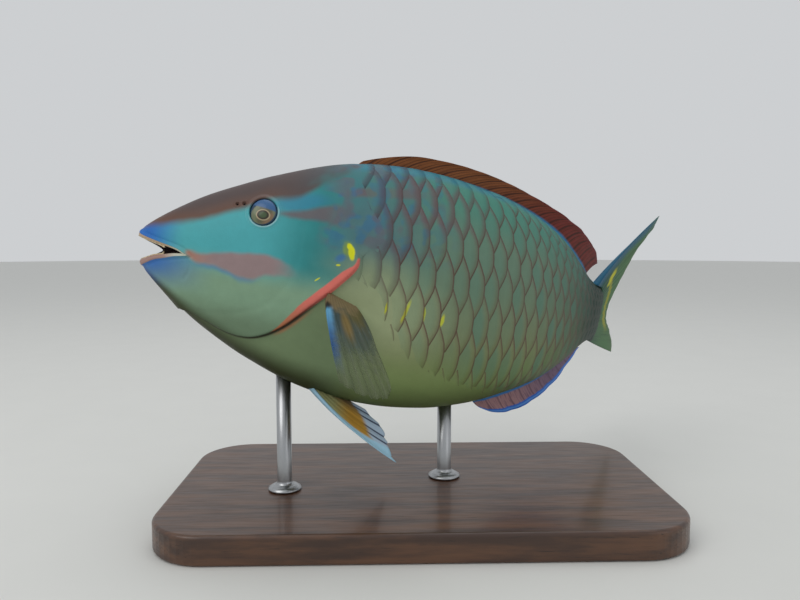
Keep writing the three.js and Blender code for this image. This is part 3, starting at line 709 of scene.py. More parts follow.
def faceCoats(s, h, plainStation, wave):
    # Snout, stripes, blotches and cap: each mask is a place on the head, and s and h waver round it
    m = markings
    blotched = ramp(s, 90, 104) * ramp(s, 168, 135) * ramp(h, 10, 22)
    aboveCap = h - curveOf(s, m["capLow"])
    capFade = ramp(s + wave * 30.0, 116, 84)
    bandLow = h - curveOf(s, m["bandLow"])
    blueEdge = ramp(bandLow, -3.2, -0.4) * ramp(bandLow, 1.4, 0.0) * ramp(s, 33, 44) * ramp(s, 74, 62)
    band = bandMask(s, h, m["bandLow"], m["bandHigh"], 1.5)
    return [
        # Blue of the snout and under the lower lip, and above the stripe behind the eye
        (ramp(s, ramp(h, -2, -6, 30.0, 50.0), 6) * ramp(h, -25, -8) * 0.95, m["blue"]),
        (spotMask(s, h, *m["brightSpot"], 0.5) * 0.7, m["stripeBlue"]),
        # Mauve stripes behind the eye and on the nape
        (
            bandMask(s, h, m["stripeLow"], m["stripeHigh"], 1.6)
            * ramp(s, 114, 94) * ramp(plainStation, 71, 78) * 0.9,
            m["mauve"],
        ),
        (
            bandMask(s, h, m["napeLow"], m["napeHigh"], 1.4) * ramp(s, 102, 110) * ramp(s, 146, 136) * 0.9,
            m["mauve"],
        ),
        # Blotches from the nape to the front of the back
        (blotched * ramp(noise(8, 1), 0.5, 0.62) * 0.6, m["blotchBlue"]),
        (blotched * ramp(noise(9, 1, shift=0.35), 0.5, 0.62) * 0.6, m["blotchMauve"]),
        # Cap from snout to nape, warmer at its edge
        (ramp(aboveCap, -2.4, 2.8) * capFade, mixColour(ramp(s, 56, 84), m["capEdge"], m["cap"])),
        (ramp(aboveCap, 1, 10) * capFade, mixColour(ramp(s, 72, 104), m["cap"], m["capRear"])),
        # Salmon band behind the mouth with a blue lower edge
        (blueEdge * 0.4, m["blue"]),
        (
            band * ramp(plainStation, 28.5, 32) * ramp(s, 92, 74),
            mixColour(ramp(plainStation, 30, 48), m["salmonCorner"], m["salmon"]),
        ),
    ]


def gillCoats(toGill, along, fine):
    # Coral edge of the gill cover with a tan line outside it, then the dark line under it, which is painted
    # shade under the cover's raised edge
    m = markings
    width = curveOf(along, m["coralWidth"]) + fine * 0.5
    coral = ramp(toGill + width, -0.4, 0.4) * ramp(toGill, 0.9, 0.3) * ramp(width, 0.3, 0.9)
    outer = ramp(toGill, 0.8, 1.4) * ramp(toGill, 3.6, 1.6) * ramp(along, 0.4, 0.5) * ramp(along, 0.62, 0.56)
    # dark: painted shade along the step under the gill cover's edge
    dark = ramp(toGill, -0.9, 0.1) * ramp(toGill, 2.0, 0.8) * ramp(along, 0.3, 0.5) * ramp(along, 1.0, 0.985)
    return [
        (coral, mixColour(ramp(along, 0.38, 0.56), m["coral"], m["coralLow"])),
        (outer * 0.7, m["coralLow"]),
        (dark * 0.9, m["line"]),
    ]


def lipCoats(s, h, rim):
    # Cream line on the upper lip, a broader tan-pink band on the lower, whitish where they meet, partly a
    # painted glint; painted shade inside
    m = markings
    lower, corner = ramp(h - s * 0.05, -3.6, -4.6), ramp(s, 17, 27)
    # the corner's whitish tone is partly a painted glint
    tone = coats(m["lipCream"], (lower, m["lipPink"]), (corner, m["lipWhiteGlint"]))
    width = (lower * 1.3 + 0.8) * (corner * -0.3 + 1.0)
    # the dark layer inside the rim is painted shade
    return [(ramp(rim - width, 0.35, -0.35) * 0.9, tone), (ramp(rim, -0.9, -2.4), m["mouthShade"])]


def makeMarkings():
    # The group "fish markings": ground, marks and lips as coats, then a mottle over everything
    tree = bpy.data.node_groups.new("fish markings", "ShaderNodeTree")
    tree.interface.new_socket("Mottle", in_out="INPUT", socket_type="NodeSocketFloat")
    tree.interface.new_socket("Colour", in_out="OUTPUT", socket_type="NodeSocketColor")
    atHand["tree"] = tree
    m = markings
    wave, fine = noise(11, 1) - 0.5, noise(3) - 0.5
    waver = wave * 3.0 + fine * 0.7
    plainStation, plainHeight = readField("station"), readField("height")
    toGill, along = readField("gill"), readField("gillAlong")
    s, h = plainStation + waver, plainHeight + waver
    finePlace = plainStation + fine * 1.2
    spots = [(spotMask(finePlace, plainHeight, *m["gillGround"], 0.35) * 0.8, m["yellowGreen"])]
    for key, (soft, strength) in m["yellowMarks"].items():
        place = plainStation if key == "flecks" else finePlace
        spots += [(spotMask(place, plainHeight, *spot, soft) * strength, m["yellow"]) for spot in m[key]]
    colour = coats(
        groundColour(s, h, readField("share"), toGill),
        *faceCoats(s, h, plainStation, wave),
        *gillCoats(toGill, along, fine),
        *spots,
        (spotMask(s, h, *m["gillPatch"], 0.6) * 0.5, m["blue"]),
        *lipCoats(plainStation, plainHeight, readField("rim")),
    )
    light = noise(6, 5, 0.6) * 0.34 + 0.83
    grey = addNode("ShaderNodeCombineColor", {0: light, 1: light, 2: light})
    amount = Field(tree.nodes.new("NodeGroupInput").outputs["Mottle"])
    colour = mixColour(amount, colour, mixColour(1.0, colour, grey, "MULTIPLY"))
    connect(tree.nodes.new("NodeGroupOutput").inputs["Colour"], colour)
    return tree


fishMarkings = makeMarkings()


def markingColour():
    # The fish's markings, placed in the material at hand
    return addNode("ShaderNodeGroup", {"Mottle": markings["mottle"]}, "Colour", node_tree=fishMarkings)


def skinMaterial(name):
    # Moist skin: markings, gloss that varies in patches of 6 mm, and a grain of 0.8 mm
    material, inputs = newMaterial(name, 0.5, 0.24, 0.06, 0.25, 1.33)
    connect(inputs["Base Color"], markingColour())
    connect(inputs["Roughness"], ramp(noise(6), 0.3, 0.7, 0.42, 0.56))
    addBump(inputs, noise(0.8, 4, 0.6), 0.12)
    return material


# Skin: a grid wrapped round the body, drawn in at the front to the rim of the open mouth and on into it
skin = {
    "columns": 288,
    "pocketRows": 26,
    "faceRows": 66,
    "faceEnd": 36.0,
    "gillRows": 132,
    "gillEnd": 118.0,
    "trunkRows": 108,
    "evenEllipse": (26, 60),
    "gapeTop": [(0, 3.4), (4, 2.6), (15, 0.8), (24, -0.5), (30, -2.55)],
    "gapeBottom": [(2, -11.4), (3, -11.2), (6.6, -9.6), (12, -6.9), (17, -5.4), (24, -3.5), (30, -2.65)],
    "mouthEnd": 30.0,
    "lips": ((0.75, 1.3, 1.1), (-0.3, 4.0, 1.0)),  # swell and furrow: height, distance from the rim, width
    "throat": (15.0, -3.2, 3.5, 1.2),  # station, height, half width and half height
    "pocketDepth": 3.0,
    "pocketLean": 0.25,
    "pocketRoll": (0.5, 0.1),  # height, and its place on the way in
    "rowGrowth": {"mouth": 1.5, "pocket": 1.6, "face": 1.35},  # powers by which rows grow wider apart
}


def mouthRim(edge, sign):
    # The mouth's edge from corner to middle: stations and section angles at even steps of its length
    level = profileCurve(edge)
    station = skin["mouthEnd"] * (1 - np.linspace(0, 1, 1500)) ** skin["rowGrowth"]["mouth"]
    middle, reach, _ = section(station)
    onBody = sign * (level(station) - middle) < 0.999 * reach
    station = station[:len(onBody) if onBody.all() else int(np.argmin(onBody))]
    angle = np.append(angleAtHeight(station, level(station)) * sign, np.pi / 2)
    station = np.append(station, station[-1])
    run = runLength(*bodySurface(station, angle * sign))
    return lambda share: (np.interp(share * run[-1], run, station), np.interp(share * run[-1], run, angle))


def mouthPocket(rim, angle, up):
    # Rows from the throat to the mouth's rim on a quadratic curve, with a roll under the lip
    station, height, halfSide, halfHeight = skin["throat"]
    c, s = np.cos(angle), np.sin(angle)
    roll, rollPlace = skin["pocketRoll"]
    w = np.linspace(1, 0, skin["pocketRows"] + 1)[:-1, None, None] ** skin["rowGrowth"]["pocket"]
    deep = rim - np.stack([0 * c - skin["pocketLean"], c, s]) * skin["pocketDepth"]
    throat = np.stack([station + 0 * c, halfSide * c, height + halfHeight * s])
    pocket = (1 - w) ** 2 * rim + 2 * w * (1 - w) * deep + w**2 * throat
    pocket[:, 2] -= (roll * np.exp(-(((w - rollPlace) / rollPlace) ** 2)) * up)[:, 0]
    fromRim = runLength(*np.concatenate([pocket, rim[None]])[::-1].transpose(1, 0, 2))[:0:-1]
    return pocket, fromRim


def skinPiece():
    # Columns lie even round an ellipse; rows go throat, lips, face, gill cover, trunk, tail
    columns = skin["columns"]
    quarter = np.arange(columns) / columns * 4
    number = quarter.astype(int) % 4
    inQuarter = quarter - np.floor(quarter)
    fromSide = np.where(number % 2 == 0, inQuarter, 1 - inQuarter)  # 0 on the flanks, 1 on the ridges
    up = np.where(number < 2, 1.0, -1.0)
    right = np.where((number == 0) | (number == 3), 1.0, -1.0)
    evenAngle = np.linspace(0, np.pi / 2, 200)
    evenSide, evenHeight = skin["evenEllipse"]
    evenStep = np.hypot(evenSide * np.sin(evenAngle), evenHeight * np.cos(evenAngle))
    evenRun = np.concatenate([[0], np.cumsum((evenStep[1:] + evenStep[:-1]) / 2)])
    slant = np.interp(fromSide * evenRun[-1], evenRun, evenAngle)

    # Face rows run from the mouth's rim back to the ring at faceEnd, then come whole rings
    upper, lower = mouthRim(skin["gapeTop"], 1), mouthRim(skin["gapeBottom"], -1)
    rimStation, rimAngle = np.where(up > 0, upper(fromSide), lower(fromSide))
    share = (np.linspace(0, 1, skin["faceRows"]) ** skin["rowGrowth"]["face"])[:, None]
    tailEnd = body["length"] + body["tailRound"]
    rings = np.concatenate([
        np.linspace(skin["faceEnd"], skin["gillEnd"], skin["gillRows"] + 1)[1:],
        np.linspace(skin["gillEnd"], tailEnd, skin["trunkRows"] + 1)[1:],
    ])[:, None]
    station = np.concatenate([rimStation + (skin["faceEnd"] - rimStation) * share, rings + 0 * slant])
    part = np.concatenate([rimAngle + (slant - rimAngle) * share, 0 * rings + slant])
    angle = np.arctan2(up * np.sin(part), right * np.cos(part))
    s, side, height = bodySurface(station, angle)
    fromRim = runLength(s, side, height)
    lift, toEnd, toGill, along = skinLift(s, height)
    for swell, place, width in skin["lips"]:
        lift = lift + swell * np.exp(-(((fromRim - place) / width) ** 2))
    s, side, height = bodySurface(station, angle, lift)

    pocket, pocketRun = mouthPocket(np.stack([s[0], side[0], height[0]]), angle[0], up)
    s, side, height = [np.concatenate([pocket[:, k], part]) for k, part in enumerate((s, side, height))]
    # The pocket counts as a place on the head, far from the gill cover's edge
    inPocket = np.ones((skin["pocketRows"], columns))
    toEnd = np.concatenate([-inPocket, toEnd])
    toGill = np.concatenate([farFromGill * inPocket, toGill])
    along = np.concatenate([inPocket, along])
    fields = markingFields(s, height, toEnd, toGill, along, np.concatenate([-pocketRun, fromRim]))
    # A fan closes the throat and another the tail's end, each round a point of its own
    fields = {key: np.append(values, [values[0, 0], values[-1, -1]]) for key, values in fields.items()}
    tips = placed([skin["throat"][0] + 1, s[-1].mean()], 0, [skin["throat"][1], height[-1].mean()])
    rows, first = len(s), np.arange(columns)
    last = first + (rows - 1) * columns
    frontFan = np.stack([np.roll(first, -1), first, np.full(columns, rows * columns)], -1)
    rearFan = np.stack([last, np.roll(last, -1), np.full(columns, rows * columns + 1)], -1)
    points = np.concatenate([placed(s, side, height).reshape(-1, 3), tips])
    mesh = makeMesh("skin", points, [gridFaces(rows, columns, closed=True), frontFan, rearFan], fields)
    nodes = ("head", "lower_jaw", "breast", "trunk_front", "trunk_middle", "trunk_rear", "caudal_peduncle")
    addPiece("skin", mesh, skinMaterial("moist skin"), nodes)


skinPiece()
print("skin made")

# Scales: thin plates in rows along the trunk, each over the ones behind it
scales = {
    "rows": (-3, 5),
    "topRowStart": 195.0,
    "rowShare": 0.125,
    "vertexShare": 0.406,
    "vertexReach": 0.82,
    "rowReach": 0.9,
    "spread": (0.05, 0.009),
    "pitch": 8.85,
    "phase": 146.3,
    "lean": 1.65,
    "jitter": 0.25,
    "firstStation": 93.0,
    "lastStation": 338.0,
    "arcReach": 16.0,
    "arcStraight": 5.5,
    "arcSlope": 0.5,
    "slant": 1.5,
    "length": 17.0,
    "rise": 0.32,
    "smoothRise": 0.2,
    "uneven": 0.015,
    "cornerDive": 0.16,
    "coverDepth": 0.5,
    "coverLimit": 0.7,
    "tailDive": (0.25, 322, 336),  # depth, and the stations between which it comes
    "rootDive": (0.35, 8.0, 13.5),  # depth, and the distances from the margin
    "thickness": 0.3,
    "marginThickness": 0.08,
    "across": 11,
    "along": (0.0, 0.42, 0.71, 1.0),
    "patch": 0.003,
    "unwrap": (345.0, 0.48),  # body length that fills the bake map, and the part of it that a flank fills
    "middle": (86, 132, 118),
    "napeRim": (96, 94, 102),
    "edge": (118, 98, 86),
    "mauveRim": (116, 98, 100),
    "line": (104, 68, 64),
}


def scaleRows(station, row):
    # Girth share of a row's middle line, and the share between rows; they spread a little to the tail
    c = scales
    even, outer = c["spread"]
    tail = smoothStep(station, 135, 220)
    between = c["rowShare"] + 2 * outer * row * tail
    vertex = c["vertexShare"] + c["rowShare"] * row + tail * (even + outer * row**2)
    return vertex - c["vertexReach"] * between, between


def scaleArc(across):
    # How far the margin falls back from its middle: upright there, then straight and slanted to both ends
    c = scales
    x = np.abs(across) * c["arcReach"] - c["arcStraight"]
    bend = np.sqrt(x**2 + 4)
    slope = c["arcSlope"] * (1 + x / bend) / 2 * np.sign(across) * c["arcReach"] - c["slant"]
    return c["arcSlope"] * (bend + x) / 2 - c["slant"] * across, slope


def plateFaces(rows, columns):
    # Top grid, margin, root and plain underside as quads, then the two sides with rows + 2 corners each;
    # the underside's points are only the root row and the margin row again, after the top's
    top = gridFaces(rows, columns)
    root = np.arange(columns - 1)
    margin = (rows - 1) * columns + root
    lowRoot, below = rows * columns + root, (rows + 1) * columns + root
    rim = np.stack([margin, margin + 1, below + 1, below], -1)
    back = np.stack([root + 1, root, lowRoot, lowRoot + 1], -1)
    underside = np.stack([lowRoot, below, below + 1, lowRoot + 1], -1)
    near = np.append(np.arange(rows) * columns, [(rows + 1) * columns, rows * columns])
    return np.concatenate([top, rim, back, underside]), np.stack([near, near[::-1] + columns - 1])


def scaleLines():
    # Margin stations and row numbers of all plates: even steps along each row, each row shifted by half
    c = scales
    margins, rows = [], []
    for row in range(c["rows"][0], c["rows"][1] + 1):
        first = c["phase"] + (row % 2) * c["pitch"] / 2 + c["lean"] * row
        first = first - c["pitch"] * np.floor((first - c["firstStation"]) / c["pitch"])
        margins.append(np.arange(first, c["lastStation"], c["pitch"]))
        rows.append(np.full(len(margins[-1]), row))
    margin = np.concatenate(margins)
    return margin + random.normal(0, c["jitter"], len(margin)), np.concatenate(rows)


def scalePiece(name, sideSign):
    # Each plate is a grid: a from -1 to 1 across it, b from 0 at its root to 1 at its margin
    c = scales
    margin, row = scaleLines()
    centre, between = scaleRows(margin, row)
    reach = c["rowReach"] * between * (1 - 0.3 * smoothStep(margin, 290, 335))
    kept = (centre + reach > 0.02) & (centre - reach < 0.98)
    kept &= (row > c["rows"][0]) | (margin > c["topRowStart"])
    margin, centre, reach = [v[kept][:, None, None] for v in (margin, centre, reach)]
    a = np.linspace(-1, 1, c["across"])[None, None, :]
    b = np.array(c["along"])[None, :, None]
    narrow = 1 - 0.25 * (1 - b) ** 2
    low, high = np.maximum(centre - reach, 0.003), np.minimum(centre + reach, 0.997)
    share = np.clip(centre + a * narrow * reach, low, high)
    across = (share - centre) / (reach * narrow)
    behind, slope = scaleArc(across)
    toMargin = (1 - b) * c["length"] * (1 - 0.3 * across**2)
    station = margin - behind - toMargin
    angle = angleAtShare(station, share)
    angle = np.where(sideSign > 0, angle, np.pi - angle)
    _, _, height = bodySurface(station, angle)

    # Plates are left out ahead of the scales' start and where the smooth breast and belly cover them
    toEnd, toGill, along = gillFields(station, height)
    upper, fade, cover = aboveGill(height), napeFade(toGill, height), smoothCover(station, height)
    free = pastNape(toEnd, height)
    start = -4 + 4.5 * upper - 0.9 * fade * (1 - upper)
    shown = ((free > start) & (cover < c["coverLimit"]))[:, -1].any(-1)

    # The base follows the skin's relief and dives at the root, the corners and the root of the tail
    under = np.clip(toGill + 2 * np.minimum(toEnd, 0), -6, None)
    corner = smoothStep(np.abs(across), 0.82 - 0.5 * cover, 1) * (1 + 3 * cover)
    base = -0.05 - gill["sink"] * np.exp(-under / gill["sinkLength"]) * (1 - upper)
    base = base - 0.3 * smoothStep(-free, 0, 8) * smoothStep(fade, 0, 3) - c["coverDepth"] * cover
    for place, (depth, low, high) in ((station, c["tailDive"]), (toMargin, c["rootDive"])):
        base = base - depth * smoothStep(place, low, high)
    base = base - c["cornerDive"] * corner
    smoother = np.maximum(smoothStep(lowered(share, station), 0.45, 0.7), 1 - smoothStep(station, 108, 146))
    rise = c["rise"] + (c["smoothRise"] - c["rise"]) * smoother
    lift = base - rise * (5 * across**2 + toMargin) / c["length"]
    uneven = random.normal(0, 1, margin.shape) + 0.7 * random.normal(0, 1, margin.shape) * a
    lift = lift + c["uneven"] * uneven * (1 - 0.8 * smoother)
    thin = c["marginThickness"] * (1 - 0.8 * smoother)
    thickness = thin + (c["thickness"] - thin) * (1 - b)
    top = np.stack(bodySurface(station, angle, lift), -1)
    bottom = np.stack(bodySurface(station, angle, lift - thickness), -1)

    def both(values):
        # A top's rows, then its root and margin rows again for the underside
        return np.concatenate([values, values[:, [0, -1]]], 1)[shown]

    grid = np.concatenate([top, bottom[:, [0, -1]]], 1)[shown]  # plate, row, column, place
    count, rows, columns = grid.shape[:3]
    faces, sides = plateFaces(len(c["along"]), columns)
    if sideSign > 0:
        faces, sides = faces[:, ::-1], sides[:, ::-1]
    smooth = np.arange(len(faces)) < (len(c["along"]) - 1) * (columns - 1)
    smooth = np.concatenate([np.tile(smooth, count), np.zeros(2 * count, bool)])
    offset = (np.arange(count) * rows * columns)[:, None, None]
    faces = [(part[None] + offset).reshape(-1, part.shape[1]) for part in (faces, sides)]
    fields = {
        **markingFields(station, height, toEnd, toGill, along, farFromLips),
        "girth": share,
        "fromHead": toEnd,
        "toRim": toMargin / np.sqrt(1 + (slope / (reach * halfGirth(margin))) ** 2),
        "tint": random.uniform(0, 1, margin.shape),
    }
    fields = {key: both(np.broadcast_to(values, share.shape)) for key, values in fields.items()}
    # On the bake map a plate is a small patch at its root's place on the unwrapped skin
    u = (margin - c["length"]) / c["unwrap"][0] + (b - 0.5) * c["patch"] + 0 * a
    v = 0.5 + sideSign * np.clip(centre, 0, 1) * c["unwrap"][1] + a / 2 * c["patch"] + 0 * b
    points = placed(grid[..., 0], grid[..., 1], grid[..., 2])
    mesh = makeMesh(name, points, faces, fields, np.stack([both(u), both(v)], -1), smooth)
    addPiece(name, mesh, scaleSkin)


def scaleMaterial():
    # Markings with a net of lines on the plates' margins, fine growth rings as relief
    c = scales
    material, inputs = newMaterial("scales", 0.52, 0.2, 0.03, 0.25, 1.33)
    station, girth, fromHead = readField("station"), readField("girth"), readField("fromHead")
    toRim, tint = readField("toRim"), readField("tint")
    # The net goes from the nape to the tail, and is gone on the lower belly and along the back's ridge
    fromBelly = lowered(girth, station)
    free = ramp(fromBelly, 0.72, 0.5)
    net = ramp(fromBelly, 0.70, 0.56) * ramp(station, 116, 138) * ramp(girth, 0.06, 0.12)
    net = net * ramp(station, 305, 235, 0.2, 1.0) * ramp(noise(25, 2), 0.3, 0.6, 0.55, 1.0)
    # Scales of the front back have broad mauve rims; middles are greener, each a little different
    front = ramp(station, 196, 150) * ramp(girth, 0.33, 0.24)
    front = front * ramp(girth, 0.08, 0.13) * ramp(station, 116, 142)
    wide = front * 2.4 + 1.0
    middle = ramp(toRim, 1.0, 4.5) * ramp(station, 300, 230) * free * ramp(fromHead, 4.0, 34.0)
    nape = ramp(station, 150, 128) * ramp(girth, 0.56, 0.4)
    nape = nape * ramp(toRim, 4.5, 1.5) * ramp(fromHead, 0.0, 14.0)
    connect(inputs["Base Color"], coats(
        markingColour(),
        (middle * (tint * 0.5 + 0.1), c["middle"]),
        (nape * free * 0.5, c["napeRim"]),
        (ramp(toRim, 2.6, 0.8) * net * 0.28, c["edge"]),
        (ramp(toRim, wide + 1.2, wide * 0.3) * front * 0.7, c["mauveRim"]),
        (ramp(toRim, 0.9, 0.25) * net * (front * -0.5 + 0.75), c["line"]),
    ))
    addBump(inputs, calc("SINE", toRim * 9.0) * 0.25 + noise(0.7), 0.07)
    return material


scaleSkin = scaleMaterial()
for label, sideSign in flanks:
    scalePiece("scales_" + label, sideSign)
print("scales made")

# Patches on the head: profiles are (radius, lift) in millimetres, flat to the skin at their outer edge
orbit = {
    "profile": [
        (6.5, -2.2), (6.9, -1.3), (7.25, -0.25), (7.7, 0.45), (8.1, 0.55), (8.6, 0.36), (9.1, 0.14),
        (9.45, 0.05), (9.7, 0.015),
    ],
    "rings": 30,
    "segments": 128,
    "rim": (138, 182, 188),
    "crevice": (28, 52, 74),
}
nostril = {
    "profile": [(0, -1.2), (0.5, -1.0), (1, -0.1), (1.35, 0.22), (2.4, 0.015)],  # radii for a pit of 1 mm
    "rings": 14,
    "segments": 32,
    "dark": (0.2, 0.5),  # shares of the pit's radius over which the mouth's painted shade ends
}


def surfacePatch(name, centre, radii, profile, sideSign, look, caps=0, pit=None):
    # A polar grid over the tangent plane, set on the surface with a lift for each radius. In a pit the
    # distance to the lips falls far below 0, as inside the mouth, so that it gets the mouth's painted shade.
    slopeAlong, slopeUp = surfaceSlopes(*centre)
    turn = fullTurn(look["segments"])[None, :]
    r = np.asarray(radii)[:, None]
    station = centre[0] + r * np.cos(turn) / np.sqrt(1 + slopeAlong**2)
    height = centre[1] + r * np.sin(turn) / np.sqrt(1 + slopeUp**2)
    angle = angleAtHeight(station, height)
    angle = angle if sideSign > 0 else np.pi - angle
    lift, toEnd, toGill, along = surfaceLift(station, height)
    s, side, z = bodySurface(station, angle, lift + profile(r))
    rim = farFromLips if pit is None else farFromLips - 9 * farFromLips * (1 - smoothStep(r, *pit))
    fields = markingFields(s, z, toEnd, toGill, along, rim)
    fields.update(radial=r + 0 * s, eyeX=r * np.cos(turn), eyeZ=r * np.sin(turn))
    faces = ringFaces(len(radii), look["segments"], caps, flip=sideSign < 0)
    mesh = makeMesh(name, placed(s, side, z), faces, fields)
    addPiece(name, mesh, look["material"])


def orbitMaterial():
    # Pale cyan rim below and behind the eye, navy in the crevice
    material, inputs = newMaterial("orbit rim", 0.45, 0.28, 0.15, 0.2)
    radial = readField("radial")
    below = (readField("eyeX") * 0.5 + readField("eyeZ") * -0.866) / radial
    rim = ramp(radial, 8.5, 8.1) * ramp(below, -0.15, 0.3) * 0.8
    layers = (rim, orbit["rim"]), (ramp(radial, 7.5, 7.1), orbit["crevice"])
    connect(inputs["Base Color"], coats(markingColour(), *layers))
    addBump(inputs, noise(0.8, 4, 0.6), 0.12)
    return material


orbit["material"] = orbitMaterial()
nostril["material"] = skinMaterial("nostril skin")
for label, sideSign in flanks:
    radii = np.linspace(orbit["profile"][0][0], eye["patchRadius"], orbit["rings"])
    centre = (eye["station"], eye["height"])
    surfacePatch("orbit_" + label, centre, radii, profileCurve(orbit["profile"]), sideSign, orbit)
    for number, (station, height, radius) in enumerate(nostrils):
        profile = profileCurve([(r * radius, lift) for r, lift in nostril["profile"]])
        radii = np.linspace(0.02, nostril["profile"][-1][0] * radius, nostril["rings"])
        # pit: where the nostril gets the mouth's painted shade
        pit = [share * radius for share in nostril["dark"]]
        name = f"nostril_{label}_{number + 1}"
        surfacePatch(name, (station, height), radii, profile, sideSign, nostril, 1, pit)
print("orbits and nostrils made")

# Eyes: a turned body with a domed front, coloured by the distance from an iris that sits low on it
eyePaint = {
    "irisPlace": (0.6, -1.95),
    "iris": (90, 90, 68),
    "irisFront": (106, 116, 86),
    "irisRear": (136, 108, 84),
    "irisEdge": (108, 114, 90),
    "blue": (50, 92, 138),
    "ring": (166, 150, 120),
    "pupilRim": (44, 38, 24),
    "pupil": (60, 80, 48),
    "navy": (20, 54, 80),
}


def eyeMaterial():
    # Bands of colour by the distance from the iris' and the pupil's middles, blue above, navy at the edge
    c = eyePaint
    material, inputs = newMaterial("eye", 0.35, 0.35, 0.22, 0.08)
    x, z = readField("eyeX"), readField("eyeZ")
    ix, iz = x - c["irisPlace"][0], z - c["irisPlace"][1]
    grain = (noise(0.7, 4, 0.65) - 0.5) * 0.8
    fromIris = flatLength(ix, iz * 1.12) + grain * 0.6
    fromPupil = flatLength(ix, iz * 1.3) + grain * 0.4
    connect(inputs["Base Color"], coats(
        c["iris"],
        (ramp(ix + grain, -1.5, -4.2), c["irisFront"]),
        (ramp(ix + iz * -0.6, 1.5, 4.5) * 0.8, c["irisRear"]),
        (ramp(fromIris, 4.6, 5.6), c["irisEdge"]),
        (ramp(fromIris, 6.2, 6.7), c["navy"]),
        (ramp(z + x * 0.12 + grain, 1.3, 2.3), c["blue"]),
        (ramp(fromPupil, 3.9, 3.5), c["ring"]),
        (ramp(fromPupil, 3.2, 2.9), c["pupilRim"]),
        (ramp(fromPupil, 2.6, 1.4), c["pupil"]),
        (ramp(flatLength(x, z) + x * 0.06, 6.3, 6.9), c["navy"]),
    ))
    addBump(inputs, noise(0.5), 0.03, 0.3)
    return material


def eyePiece(name, sideSign, material, segments=96):
    # An outline turned about the outward normal: dome in front, cup behind
    tilt = np.linspace(0.02, np.pi / 2, 20)
    front = np.stack([eye["radius"] * np.sin(tilt), eye["dome"] * np.cos(tilt)], -1)
    back = np.stack([eye["radius"] * np.cos(tilt * 0.98), -eye["depth"] * np.sin(tilt * 0.98)], -1)
    outline = np.concatenate([front, back[1:]])
    turn = fullTurn(segments)
    x = outline[:, :1] * np.cos(turn)
    z = outline[:, :1] * np.sin(turn)
    y = outline[:, 1:] + 0 * x - eye["sunk"]
    slopeAlong, slopeUp = surfaceSlopes(eye["station"], eye["height"])
    normal = unit(np.array([-slopeAlong, 1, -slopeUp]))
    forward = unit(np.cross(normal, [0, 0, 1]))
    upward = np.cross(forward, normal)
    origin = np.array([eye["station"], surfaceSide(eye["station"], eye["height"]), eye["height"]])
    place = origin + x[..., None] * forward + y[..., None] * normal + z[..., None] * upward
    points = placed(place[..., 0], place[..., 1] * sideSign, place[..., 2])
    faces = ringFaces(len(outline), segments, flip=sideSign < 0)
    mesh = makeMesh(name, points, faces, {"eyeX": x, "eyeZ": z})
    addPiece(name + "_ball", mesh, material, (name,))


eyeLook = eyeMaterial()
for label, sideSign in flanks:
    eyePiece("eye_" + label, sideSign, eyeLook)
print("eyes made")

# Beak plates keep the solids' shape and get a bone finish
beak = {
    "nodes": ("upper_tooth_plate", "lower_tooth_plate"),
    "bone": (196, 172, 132),
    "paleBone": (226, 208, 172),
    "stain": (146, 150, 140),
}


def beakMaterial():
    # Upright streaks of pale bone, grey stains in patches
    material, inputs = newMaterial("beak", 0.32, 0.5, 0.3, 0.1)
    streak = noise(1.2, 4, 0.6, stretch=(1.0, 1.0, 0.25))
    layers = (ramp(streak, 0.35, 0.65), beak["paleBone"]), (ramp(noise(5), 0.5, 0.75), beak["stain"])
    connect(inputs["Base Color"], coats(beak["bone"], *layers))
    addBump(inputs, streak, 0.1)
    return material


beakLook = beakMaterial()
for node in beak["nodes"]:
    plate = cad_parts[node].data
    plate.materials.clear()
    plate.materials.append(beakLook)
print("beak finished")


# Fins: closed sheets whose rays stand out of the membrane
ray = {
    "width": 0.42,  # of the half way to the next ray
    "taper": 0.75,
    "branch": 0.25,
    "branchFrom": 0.45,
    "branchFull": 0.8,
    "thinBy": 1.6,  # the membrane is thin from 1 / 1.6 of the way out
    "roundFrom": 0.985,
}


def finGrid(fin, raySteps=8, rows=40):
    # Columns cross the rays and rows run along them, each column on a quadratic curve root-control-tip;
    # gives the middle sheet, both faces' offsets from it, and the fields that the paint reads
    u = np.linspace(0, 1, (fin["rays"] - 1) * raySteps + 1)[None, :]
    v = np.linspace(0, 1, rows)[:, None]
    phase = u * (fin["rays"] - 1)
    toRay = np.abs(phase - np.round(phase)) * 2  # 0 on a ray, 1 half way between two
    w = v * (1 - fin["scallop"] * toRay**2)
    start, middle, end = [np.stack(fin[key](u)) for key in ("root", "control", "tip")]
    centre = (1 - w) ** 2 * start + 2 * w * (1 - w) * middle + w**2 * end
    rootHalf, tipHalf = fin["thickness"][0] / 2, fin["thickness"][1] / 2
    membrane = rootHalf + (tipHalf - rootHalf) * np.minimum(v * ray["thinBy"], 1)
    branch = np.cos(phase * np.pi * 4) * smoothStep(v, ray["branchFrom"], ray["branchFull"]) * ray["branch"]
    ridge = np.exp(-((toRay / ray["width"]) ** 2)) + np.clip(branch, -0.1, 1) * (toRay < 0.9)
    half = membrane + fin["ridge"] * ridge * (1 - ray["taper"] * v)
    half = half * (1 - smoothStep(v, ray["roundFrom"], 1.0) * 0.5)
    flutter = fin["flutter"] * np.sin(phase * np.pi) * v**2
    fields = {"finU": u + 0 * v, "finV": v + 0 * u, "toRay": toRay + 0 * v}
    fields = {key: np.stack([values, values]) for key, values in fields.items()}
    return centre, np.stack([flutter - half, flutter + half]), fields


def finPiece(name, points, fields, flip, material, nodes):
    # A fin from the points of both its faces, turned inside out where flip says so
    faces = sheetFaces(*points.shape[1:3])
    mesh = makeMesh(name, points, [faces[:, ::-1] if flip else faces], fields)
    addPiece(name, mesh, material, nodes)


def streaks(u, v, across, along):
    # Fine streaks that run along the rays: noise on the fin's own across and along
    place = addNode("ShaderNodeCombineXYZ", {0: u * across, 1: v * along})
    return noise(1000, 3.0, 0.6, place)


